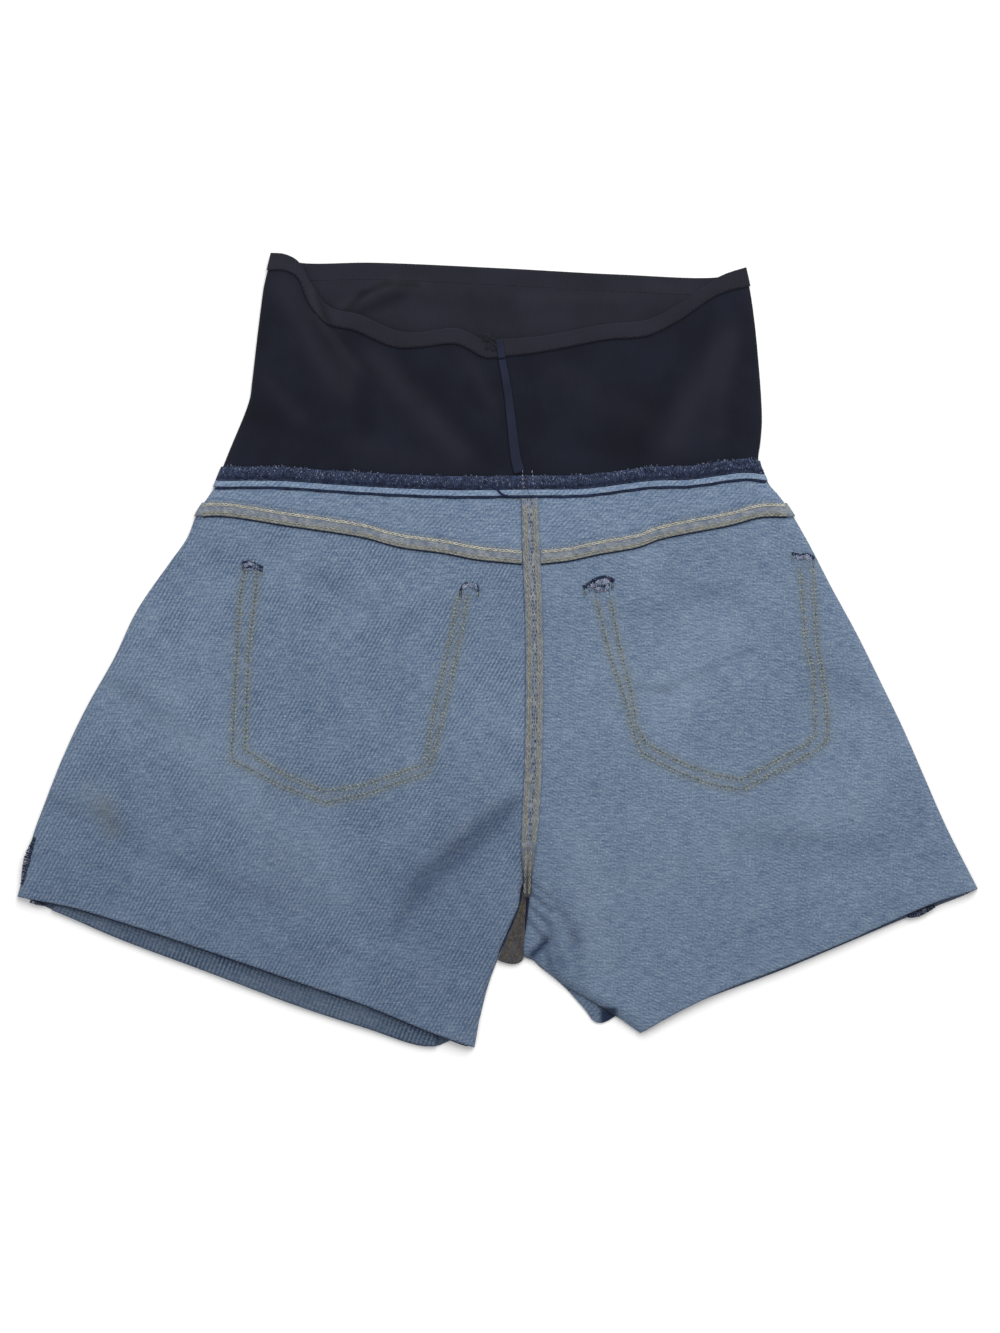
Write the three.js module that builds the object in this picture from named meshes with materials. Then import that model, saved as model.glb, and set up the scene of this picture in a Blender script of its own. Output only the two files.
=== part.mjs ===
// Maternity denim shorts, turned inside out and laid flat with the seat side up.
// Millimetres. +Z is up from the surface they lie on, +Y points to the waist, +X to the right.
// The origin is on that surface, under the middle of the laid-out outline.
// Every outline below is a short table of stations along a cut edge or a seam of the real garment.
import * as THREE from "three";

// Cloth walls
const DENIM = 1.2;
const JERSEY = 1.0;
const SEWN = 1.0;
const SEAM_GAP = 0.3;
const HALF_GAP = SEAM_GAP / 2;

// Height of the upper layer's top face over the surface
const BELLY_REST = 4.4;
const SEAT_REST = 5.2;
const WAIST_LOW = 92;
const WAIST_HIGH = 112;
const CUFF_RISE = 1.1;
const CUFF_RISE_FROM = 46;
const CUFF_RISE_TO = 31;

// Where the upper layer turns down to the lower one at its sides
const ROLL = 8;
const ROLL_SHARES = [0, 0.07, 0.28, 0.6, 1];
const FRONT_HEM_LIFT = JERSEY + SEAM_GAP;

// Widths of what is sewn along the edges
const YOKE_FELL_ABOVE = 3.4;
const YOKE_FELL_BELOW = 5;
const WAIST_DENIM = 3.8;
const WAIST_SERGING = 8.8;
const SIDE_ALLOWANCE = 9;
const ALLOWANCE_START = 0.03;
const ALLOWANCE_TRIM = 0.5;
const INSEAM_ALLOWANCE = 8;
const SCOOP_ALLOWANCE = 8;
const FRONT_FELL = 10;
const FRONT_HEM_TURN = 11;
const CUFF = 25;
const CUFF_INSET = 0.4;

// Outline of the denim's seat side: points on the laid-out edge, from the waist down
const SIDE_LEFT = [
  { x: -181, y: 104.6 },
  { x: -192.3, y: 87.4 },
  { x: -198.7, y: 72 },
  { x: -209.6, y: 56.6 },
  { x: -230.7, y: 25.9 },
  { x: -245.4, y: -4.8 },
  { x: -262.7, y: -35.5 },
  { x: -277.4, y: -66.2 },
  { x: -289.6, y: -97 },
  { x: -297.5, y: -118.7 },
  { x: -301.8, y: -137.3 },
  { x: -307.5, y: -157.5 },
];
const SIDE_RIGHT = [
  { x: 172.5, y: 108.5 },
  { x: 184, y: 95 },
  { x: 198, y: 72 },
  { x: 214, y: 41.3 },
  { x: 230.7, y: 10.6 },
  { x: 246, y: -20.2 },
  { x: 260.8, y: -50.9 },
  { x: 274.2, y: -81.6 },
  { x: 287.7, y: -112.3 },
  { x: 308.2, y: -152.6 },
];
const CENTRE_BACK = [
  { x: 22, y: 60.5 },
  { x: 23.7, y: 19.5 },
  { x: 24, y: -31.7 },
  { x: 23, y: -78.4 },
  { x: 21.4, y: -108 },
  { x: 20, y: -128 },
  { x: 18.2, y: -147 },
];
const INNER_LEFT = [
  { x: 18, y: -147 },
  { x: 15.2, y: -154 },
  { x: 14.4, y: -163 },
  { x: 10.2, y: -172.5 },
  { x: 4.5, y: -185.9 },
  { x: -0.6, y: -199.4 },
  { x: -5.1, y: -212.8 },
  { x: -9.6, y: -228.2 },
  { x: -14.4, y: -254.4 },
];
const INNER_RIGHT = [
  { x: 18.4, y: -147 },
  { x: 20.6, y: -154 },
  { x: 20.2, y: -163 },
  { x: 18.8, y: -177 },
  { x: 19.4, y: -190 },
  { x: 31, y: -203 },
  { x: 44, y: -214 },
  { x: 59.5, y: -223.7 },
  { x: 75.5, y: -233.9 },
  { x: 91.6, y: -245.2 },
];
const HEM_LEFT = [
  { x: -307.5, y: -157.5 },
  { x: -273, y: -164.2 },
  { x: -233.5, y: -176 },
  { x: -182.7, y: -193 },
  { x: -127.4, y: -212.2 },
  { x: -84.8, y: -226.9 },
  { x: -42.6, y: -244.2 },
  { x: -14.4, y: -254.4 },
];
const HEM_RIGHT = [
  { x: 308.2, y: -152.6 },
  { x: 279.4, y: -161.6 },
  { x: 222.4, y: -186.6 },
  { x: 183.4, y: -202.6 },
  { x: 143.7, y: -218 },
  { x: 112.3, y: -233.3 },
  { x: 91.6, y: -245.2 },
];

// Seam lines of the seat side, from the side to the centre back
const WAIST_LEFT = [
  { x: -181, y: 104.6 },
  { x: -141.8, y: 104.6 },
  { x: -102.7, y: 102.1 },
  { x: -63, y: 99.8 },
  { x: -27.2, y: 98.6 },
  { x: 20.8, y: 99 },
];
const WAIST_RIGHT = [
  { x: 172.5, y: 108.5 },
  { x: 159, y: 109.8 },
  { x: 123.2, y: 105.3 },
  { x: 98.9, y: 104.6 },
  { x: 56, y: 99.5 },
  { x: 20.8, y: 99 },
];
const YOKE_LEFT = [
  { x: -190.2, y: 90.8 },
  { x: -175, y: 91 },
  { x: -133.4, y: 84.8 },
  { x: -85.4, y: 77.4 },
  { x: -63, y: 71.4 },
  { x: -33, y: 67.2 },
  { x: -13.8, y: 63.4 },
  { x: 22, y: 60.5 },
];
const YOKE_RIGHT = [
  { x: 187, y: 90.6 },
  { x: 168, y: 90.2 },
  { x: 150, y: 85.4 },
  { x: 104, y: 76.2 },
  { x: 91.2, y: 71.4 },
  { x: 65, y: 66.6 },
  { x: 45.1, y: 62.4 },
  { x: 22, y: 60.5 },
];

// Belly panel of stretch jersey, from its top edge down and from the side to the centre back
const BELLY_SIDE_LEFT = [
  { x: -144.3, y: 254.7 },
  { x: -146.9, y: 243.5 },
  { x: -149.4, y: 233.3 },
  { x: -152.6, y: 210.2 },
  { x: -157.1, y: 171.8 },
  { x: -158.6, y: 161 },
  { x: -172.5, y: 125.8 },
  { x: -181, y: 104.6 },
];
const BELLY_SIDE_RIGHT = [
  { x: 159, y: 245.4 },
  { x: 161.6, y: 233.3 },
  { x: 164.2, y: 217.9 },
  { x: 166.8, y: 194.9 },
  { x: 169.9, y: 148.8 },
  { x: 168.9, y: 133.4 },
  { x: 167.6, y: 121 },
  { x: 172.5, y: 108.5 },
];
const BELLY_CENTRE = [
  { x: 1.6, y: 199.4 },
  { x: 2.9, y: 187.8 },
  { x: 6.7, y: 166.7 },
  { x: 9.3, y: 145 },
  { x: 12.4, y: 119.4 },
  { x: 20.8, y: 99 },
];
const BELLY_TOP_LEFT = [
  { x: -144.3, y: 254.7 },
  { x: -136, y: 253.8 },
  { x: -127.6, y: 249.4 },
  { x: -117.8, y: 233 },
  { x: -107.2, y: 220 },
  { x: -88.2, y: 215.2 },
  { x: -63.2, y: 204.6 },
  { x: -49.6, y: 203.8 },
  { x: -25.9, y: 206.4 },
  { x: -7.4, y: 198.7 },
  { x: 1.6, y: 199.4 },
];
const BELLY_TOP_RIGHT = [
  { x: 159, y: 245.4 },
  { x: 143, y: 239.7 },
  { x: 115.5, y: 221.5 },
  { x: 96.3, y: 211.9 },
  { x: 70, y: 209 },
  { x: 27.2, y: 201.3 },
  { x: 1.6, y: 199.4 },
];
const BELLY_HEM_LEFT = [
  { x: -146.9, y: 243.5 },
  { x: -136, y: 242.9 },
  { x: -128.3, y: 239 },
  { x: -120.6, y: 222.4 },
  { x: -110, y: 209.5 },
  { x: -91.2, y: 204.6 },
  { x: -66.2, y: 194.2 },
  { x: -49.6, y: 193.9 },
  { x: -25.9, y: 196 },
  { x: -7.4, y: 187.2 },
  { x: 2.9, y: 187.8 },
];
const BELLY_HEM_RIGHT = [
  { x: 161.6, y: 233.3 },
  { x: 141.5, y: 227.4 },
  { x: 115.5, y: 210.4 },
  { x: 96.3, y: 201.3 },
  { x: 70, y: 198.7 },
  { x: 27.2, y: 190.7 },
  { x: 2.9, y: 187.8 },
];

// Front of the garment, the lower layer. The belly panel's scoop runs low over the front.
const FRONT_TOP = [
  { x: -143.6, y: 252.6 },
  { x: -125.1, y: 248.4 },
  { x: -80.3, y: 248.6 },
  { x: 1.6, y: 245.1 },
  { x: 78.4, y: 241 },
  { x: 143, y: 239.4 },
  { x: 158.6, y: 244 },
];
const SCOOP = [
  { x: -185, y: 98 },
  { x: -128, y: 72 },
  { x: -60, y: 43 },
  { x: 20, y: 32 },
  { x: 92, y: 45 },
  { x: 142, y: 74 },
  { x: 181.3, y: 98 },
];
const CENTRE_FRONT = [
  { x: 20, y: 27.4 },
  { x: 19, y: -60 },
  { x: 17, y: -120 },
  { x: 13, y: -165 },
  { x: 9.4, y: -196 },
];
const FRONT_CROTCH_LEFT = [
  { x: 8.8, y: -150 },
  { x: -3.4, y: -181 },
];
const FRONT_CROTCH_RIGHT = [
  { x: 20.6, y: -150 },
  { x: 23.8, y: -174 },
];
const FRONT_INNER_LEFT = [
  { x: 2, y: -194 },
  { x: -3.4, y: -208 },
  { x: -7, y: -219.2 },
  { x: -11.4, y: -237 },
  { x: -15, y: -249 },
];
const FRONT_INNER_RIGHT = [
  { x: 18.6, y: -193 },
  { x: 29, y: -206 },
  { x: 41, y: -219 },
  { x: 50, y: -227 },
  { x: 63, y: -238 },
];
const FRONT_HEM_LEFT = [
  { x: -299.2, y: -161 },
  { x: -266.2, y: -174.7 },
  { x: -240.3, y: -185.8 },
  { x: -186.8, y: -205.8 },
  { x: -127.4, y: -228.2 },
  { x: -84.8, y: -242 },
  { x: -42.6, y: -254 },
  { x: -15, y: -249 },
];
const FRONT_HEM_RIGHT = [
  { x: 297, y: -156 },
  { x: 259.5, y: -172.5 },
  { x: 183.4, y: -204.5 },
  { x: 143.7, y: -219.4 },
  { x: 112.3, y: -231.4 },
  { x: 88, y: -237.6 },
  { x: 63, y: -238 },
];

// Back pockets. They lie under the seat panels, inside the garment.
const POCKET_LEFT = {
  mouth: [
    { x: -163, y: 56 },
    { x: -12, y: 41 },
  ],
  foot: [
    { x: -169, y: -68 },
    { x: -106, y: -97 },
    { x: -43, y: -77 },
  ],
};
const POCKET_RIGHT = {
  mouth: [
    { x: 190, y: 60 },
    { x: 58, y: 44 },
  ],
  foot: [
    { x: 208, y: -57 },
    { x: 157, y: -88 },
    { x: 90, y: -66 },
  ],
};

// Bands sewn over the meeting panels: the band's own width at each station
const CENTRE_FELL = [
  { x: 20.8, y: 97.4, width: 10.4 },
  { x: 22, y: 60.5, width: 11.2 },
  { x: 23.7, y: 19.5, width: 11.2 },
  { x: 24, y: -31.7, width: 11.2 },
  { x: 23, y: -78.4, width: 11 },
  { x: 21.4, y: -108, width: 10.6 },
  { x: 20, y: -128, width: 9 },
  { x: 19.2, y: -141, width: 6.6 },
];
const BELLY_SEAM = [
  { x: 3.1, y: 186.4, width: 4.6 },
  { x: 6.7, y: 166.7, width: 5 },
  { x: 9.3, y: 145, width: 5.6 },
  { x: 12, y: 123, width: 6.4 },
  { x: 14.4, y: 113.8, width: 6.8 },
];
// End of the crotch seam, which shows between the two legs
const CROTCH_LEFT = [
  { x: 16, y: -155 },
  { x: 15, y: -163 },
  { x: 11, y: -172.5 },
  { x: 5.4, y: -186 },
  { x: 1.4, y: -196 },
];
const CROTCH_RIGHT = [
  { x: 18.9, y: -155.5 },
  { x: 18.7, y: -163 },
  { x: 17.8, y: -177 },
  { x: 18.2, y: -189 },
  { x: 16.5, y: -196 },
];

// Largest folds of the upper layer: a soft ridge from one end to the other, a trough where height is negative
const FOLDS = [
  { fromX: -135, fromY: 232, toX: -104, toY: 176, height: 1.1, width: 10 },
  { fromX: -108, fromY: 196, toX: -86, toY: 150, height: -0.8, width: 8 },
  { fromX: -76, fromY: 184, toX: -27, toY: 128, height: 1, width: 9 },
  { fromX: -38, fromY: 158, toX: -6, toY: 124, height: -0.7, width: 8 },
  { fromX: 124, fromY: 194, toX: 96, toY: 140, height: -0.7, width: 9 },
  { fromX: 142, fromY: 190, toX: 114, toY: 136, height: 1, width: 10 },
  { fromX: -46, fromY: -148, toX: -4, toY: -112, height: -0.7, width: 12 },
  { fromX: 54, fromY: -130, toX: 66, toY: -186, height: 0.8, width: 14 },
  { fromX: 100, fromY: -26, toX: 168, toY: 30, height: 0.5, width: 18 },
  { fromX: -232, fromY: -22, toX: -128, toY: -130, height: 0.6, width: 26 },
  { fromX: 96, fromY: -140, toX: 226, toY: -96, height: 0.5, width: 20 },
];

const LOOKS = {
  denim: { color: 0x6c84a2, roughness: 0.92 },
  jersey: { color: 0x1c1f2b, roughness: 0.86 },
  jersey_face: { color: 0x2b2b31, roughness: 0.88 },
  felled: { color: 0x7d7c7e, roughness: 0.9 },
  serged: { color: 0x2b3350, roughness: 0.95 },
};

// turn is -1 on the left and 1 on the right
const HALVES = [
  {
    side: "left",
    turn: -1,
    outer: SIDE_LEFT,
    inner: INNER_LEFT,
    hem: HEM_LEFT,
    waist: WAIST_LEFT,
    yoke: YOKE_LEFT,
    bellySide: BELLY_SIDE_LEFT,
    bellyTop: BELLY_TOP_LEFT,
    bellyHem: BELLY_HEM_LEFT,
    frontCrotch: FRONT_CROTCH_LEFT,
    frontInner: FRONT_INNER_LEFT,
    frontHem: FRONT_HEM_LEFT,
    pocket: POCKET_LEFT,
    cuffShares: [0.035, 0.95],
    frontCuffShares: [0.05, 0.92],
  },
  {
    side: "right",
    turn: 1,
    outer: SIDE_RIGHT,
    inner: INNER_RIGHT,
    hem: HEM_RIGHT,
    waist: WAIST_RIGHT,
    yoke: YOKE_RIGHT,
    bellySide: BELLY_SIDE_RIGHT,
    bellyTop: BELLY_TOP_RIGHT,
    bellyHem: BELLY_HEM_RIGHT,
    frontCrotch: FRONT_CROTCH_RIGHT,
    frontInner: FRONT_INNER_RIGHT,
    frontHem: FRONT_HEM_RIGHT,
    pocket: POCKET_RIGHT,
    cuffShares: [0.065, 0.94],
    frontCuffShares: [0.07, 0.9],
  },
];

const group = new THREE.Group();
group.name = "maternity_denim_shorts";
export default group;

const mix = (a, b, t) => a + (b - a) * t;
const moved = (stations, dx, dy) => stations.map((s) => ({ ...s, x: s.x + dx, y: s.y + dy }));

function smooth(low, high, value) {
  const t = THREE.MathUtils.clamp((value - low) / (high - low), 0, 1);
  return t * t * (3 - 2 * t);
}

// A smooth line through stations
function line(stations) {
  const points = stations.map((s) => new THREE.Vector3(s.x, s.y, 0));
  const curve = new THREE.CatmullRomCurve3(points, false, "centripetal");
  curve.arcLengthDivisions = 400;
  return curve;
}

// Straight runs between stations, for a pocket's pointed foot
function folded(stations) {
  const path = new THREE.CurvePath();
  stations.slice(1).forEach((s, i) => {
    const from = new THREE.Vector3(stations[i].x, stations[i].y, 0);
    path.add(new THREE.LineCurve3(from, new THREE.Vector3(s.x, s.y, 0)));
  });
  return path;
}

// The same line moved sideways, and only between two shares of its length.
// A positive distance goes to the left of its direction.
function beside(curve, distance, from = 0, to = 1, steps = 32) {
  const stations = [];
  for (let i = 0; i <= steps; i++) {
    const share = mix(from, to, i / steps);
    const at = curve.getPointAt(share);
    const along = curve.getTangentAt(share);
    stations.push({ x: at.x - along.y * distance, y: at.y + along.x * distance });
  }
  return line(stations);
}

// Share of a line that runs down, where it passes a height of Y
function shareAt(curve, y) {
  let [low, high] = [0, 1];
  for (let i = 0; i < 40; i++) {
    const middle = (low + high) / 2;
    if (curve.getPointAt(middle).y > y) low = middle;
    else high = middle;
  }
  return low;
}

// Share of a line that runs to the right, where it passes X
function shareAtX(curve, x) {
  let [low, high] = [0, 1];
  for (let i = 0; i < 40; i++) {
    const middle = (low + high) / 2;
    if (curve.getPointAt(middle).x < x) low = middle;
    else high = middle;
  }
  return low;
}

// Share of a line, within a range, where it comes closest to another line
function nearestShare(curve, other, [from, to]) {
  const samples = other.getSpacedPoints(400);
  let best = { share: from, distance: Infinity };
  for (let i = 0; i <= 400; i++) {
    const share = mix(from, to, i / 400);
    const at = curve.getPointAt(share);
    const distance = distanceTo(samples, at.x, at.y);
    if (distance < best.distance) best = { share, distance };
  }
  return best.share;
}

const between = (curve, fromY, toY) => beside(curve, 0, shareAt(curve, fromY), shareAt(curve, toY));

// A seam line that starts on a side line
function fromSide(stations, side) {
  const start = side.getPointAt(shareAt(side, stations[0].y));
  return line([start, ...stations.slice(1)]);
}

// Distance from a point to a sampled line
function distanceTo(samples, x, y) {
  let best = Infinity;
  for (let i = 1; i < samples.length; i++) {
    const [a, b] = [samples[i - 1], samples[i]];
    const [dx, dy] = [b.x - a.x, b.y - a.y];
    const t = THREE.MathUtils.clamp(((x - a.x) * dx + (y - a.y) * dy) / (dx * dx + dy * dy), 0, 1);
    best = Math.min(best, Math.hypot(x - a.x - t * dx, y - a.y - t * dy));
  }
  return best;
}

const samplesOf = (stations) => line(stations).getSpacedPoints(120);
const EDGES = {
  left: [samplesOf(BELLY_SIDE_LEFT), samplesOf(SIDE_LEFT), samplesOf(INNER_LEFT)],
  right: [samplesOf(BELLY_SIDE_RIGHT), samplesOf(SIDE_RIGHT), samplesOf(INNER_RIGHT)],
};
const HEMS = { left: samplesOf(HEM_LEFT), right: samplesOf(HEM_RIGHT) };
const FRONT_EDGE = samplesOf(FRONT_TOP);
const edgeDistance = (side, x, y) => Math.min(...EDGES[side].map((samples) => distanceTo(samples, x, y)));

// Height that the table of folds adds at a point
function foldsAt(x, y) {
  return FOLDS.reduce((sum, f) => {
    const [dx, dy] = [f.toX - f.fromX, f.toY - f.fromY];
    const length = Math.hypot(dx, dy);
    const along = ((x - f.fromX) * dx + (y - f.fromY) * dy) / length;
    const aside = ((x - f.fromX) * dy - (y - f.fromY) * dx) / length;
    const past = Math.max(0, -along, along - length);
    return sum + f.height * Math.exp(-((aside / f.width) ** 2) - (past / (1.6 * f.width)) ** 2);
  }, 0);
}

// The front belly panel rises over its own turned hem
function frontLift(x, y) {
  const distance = distanceTo(FRONT_EDGE, x, y);
  return FRONT_HEM_LIFT * (1 - smooth(FRONT_HEM_TURN + 5, FRONT_HEM_TURN + 21, distance));
}

// Top face of the upper layer. At its sides it turns down until it stands just over the lower layer.
function seatTop(side, x, y) {
  const overWaist = smooth(WAIST_LOW, WAIST_HIGH, y);
  const overCuff = 1 - smooth(CUFF_RISE_TO, CUFF_RISE_FROM, distanceTo(HEMS[side], x, y));
  const flat = mix(SEAT_REST, BELLY_REST, overWaist) + CUFF_RISE * overCuff + foldsAt(x, y) * (1 - overCuff);
  const foot = mix(DENIM, JERSEY, overWaist) + SEAM_GAP + (y > 200 ? frontLift(x, y) : 0);
  const share = Math.min(1, edgeDistance(side, x, y) / ROLL);
  return mix(foot, flat, Math.sqrt(Math.max(0, 1 - (1 - share) ** 2)));
}

// Shares of the way across a piece, closer together where an end turns down
function columns(width, count, rollStart, rollEnd) {
  const roll = Math.min(0.4, ROLL / width);
  const start = rollStart ? ROLL_SHARES.map((s) => s * roll) : [0];
  const end = rollEnd ? ROLL_SHARES.map((s) => 1 - s * roll).reverse() : [1];
  const inner = [];
  const from = start[start.length - 1];
  for (let i = 1; i < count; i++) inner.push(mix(from, end[0], i / count));
  return [...start, ...inner, ...end];
}

// Points of a four-sided piece: its top and bottom lines run the same way, and so do its two sides
function patch({ top, bottom, start, end, across, down, rollStart = false, rollEnd = false }) {
  const [a, b] = [top.getPointAt(0), top.getPointAt(1)];
  const [c, d] = [bottom.getPointAt(0), bottom.getPointAt(1)];
  const rows = [];
  for (let j = 0; j <= down; j++) {
    const v = j / down;
    const first = start.getPointAt(v);
    const last = end.getPointAt(v);
    const shares = columns(first.distanceTo(last), across, rollStart, rollEnd);
    rows.push(
      shares.map((u) => {
        const t = top.getPointAt(u);
        const w = bottom.getPointAt(u);
        const at = (axis) =>
          mix(t[axis], w[axis], v) +
          mix(first[axis], last[axis], u) -
          mix(mix(a[axis], b[axis], u), mix(c[axis], d[axis], u), v);
        return { x: at("x"), y: at("y") };
      }),
    );
  }
  return rows;
}

// Unit normals of a grid of points. At an edge that turns down they point straight out.
function normals(grid, steep) {
  return grid.map((row, j) =>
    row.map((p, i) => {
      const west = row[Math.max(0, i - 1)];
      const east = row[Math.min(row.length - 1, i + 1)];
      const north = grid[Math.max(0, j - 1)][i];
      const south = grid[Math.min(grid.length - 1, j + 1)][i];
      const across = new THREE.Vector3(east.x - west.x, east.y - west.y, east.z - west.z);
      const down = new THREE.Vector3(south.x - north.x, south.y - north.y, south.z - north.z);
      const up = across.cross(down);
      if (up.z < 0) up.negate();
      if (steep(p)) up.setZ(0);
      return up.normalize();
    }),
  );
}

const offset = (grid, up, distance) =>
  grid.map((row, j) =>
    row.map((p, i) => ({
      x: p.x + up[j][i].x * distance,
      y: p.y + up[j][i].y * distance,
      z: p.z + up[j][i].z * distance,
    })),
  );

// A closed wall between an upper grid and a lower grid of the same shape
function wall(upper, lower) {
  const [rows, cols] = [upper.length, upper[0].length];
  const position = [...upper, ...lower].flatMap((row) => row.flatMap((p) => [p.x, p.y, p.z]));
  const index = [];
  const top = (j, i) => j * cols + i;
  const under = (j, i) => (rows + j) * cols + i;
  const quad = (a, b, c, d) => index.push(a, b, c, a, c, d);
  for (let j = 0; j < rows - 1; j++) {
    for (let i = 0; i < cols - 1; i++) {
      quad(top(j, i), top(j + 1, i), top(j + 1, i + 1), top(j, i + 1));
      quad(under(j, i), under(j, i + 1), under(j + 1, i + 1), under(j + 1, i));
    }
    quad(top(j + 1, 0), top(j, 0), under(j, 0), under(j + 1, 0));
    quad(top(j, cols - 1), top(j + 1, cols - 1), under(j + 1, cols - 1), under(j, cols - 1));
  }
  for (let i = 0; i < cols - 1; i++) {
    quad(top(0, i), top(0, i + 1), under(0, i + 1), under(0, i));
    quad(top(rows - 1, i + 1), top(rows - 1, i), under(rows - 1, i), under(rows - 1, i + 1));
  }
  const [a, b, c] = [upper[0][0], upper[rows - 1][0], upper[0][cols - 1]];
  const facesUp = (b.x - a.x) * (c.y - a.y) - (b.y - a.y) * (c.x - a.x) > 0;
  if (!facesUp) {
    for (let i = 0; i < index.length; i += 3) [index[i + 1], index[i + 2]] = [index[i + 2], index[i + 1]];
  }
  const geometry = new THREE.BufferGeometry();
  geometry.setAttribute("position", new THREE.Float32BufferAttribute(position, 3));
  geometry.setIndex(index);
  geometry.computeVertexNormals();
  return geometry;
}

function add(name, cloth, geometry) {
  const material = new THREE.MeshStandardMaterial({ name: cloth, metalness: 0, ...LOOKS[cloth] });
  const mesh = new THREE.Mesh(geometry, material);
  mesh.name = name;
  group.add(mesh);
}

// A piece of the upper layer. Its underside is at out from the layer's top face.
function onSeat(name, cloth, thickness, side, out, shape) {
  const sides = side === "both" ? ["left", "right"] : [side];
  const height = (x, y) => Math.max(...sides.map((s) => seatTop(s, x, y)));
  const grid = patch(shape).map((row) => row.map((p) => ({ ...p, z: height(p.x, p.y) })));
  const turnsDown = (p) => side !== "both" && edgeDistance(side, p.x, p.y) < 0.05;
  const up = normals(grid, turnsDown);
  add(name, cloth, wall(offset(grid, up, out + thickness), offset(grid, up, out)));
}

// A piece of the lower layer, or one laid on it: base is its underside's height
function laid(name, cloth, thickness, base, shape, lift = () => 0) {
  const grid = patch(shape);
  const at = (height) => grid.map((row) => row.map((p) => ({ ...p, z: height + lift(p.x, p.y) })));
  add(name, cloth, wall(at(base + thickness), at(base)));
}

// A strip between two lines that run the same way
const strip = (start, end, down, across = 1) => ({
  top: line([start.getPointAt(0), end.getPointAt(0)]),
  bottom: line([start.getPointAt(1), end.getPointAt(1)]),
  start,
  end,
  across,
  down,
});

// The two edges of a band from its middle line and its widths
function bandEdges(stations) {
  const curve = line(stations);
  return [1, -1].map((turn) =>
    line(
      stations.map((s, i) => {
        const along = curve.getTangent(i / (stations.length - 1));
        return { x: s.x + (turn * along.y * s.width) / 2, y: s.y - (turn * along.x * s.width) / 2 };
      }),
    ),
  );
}

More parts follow.
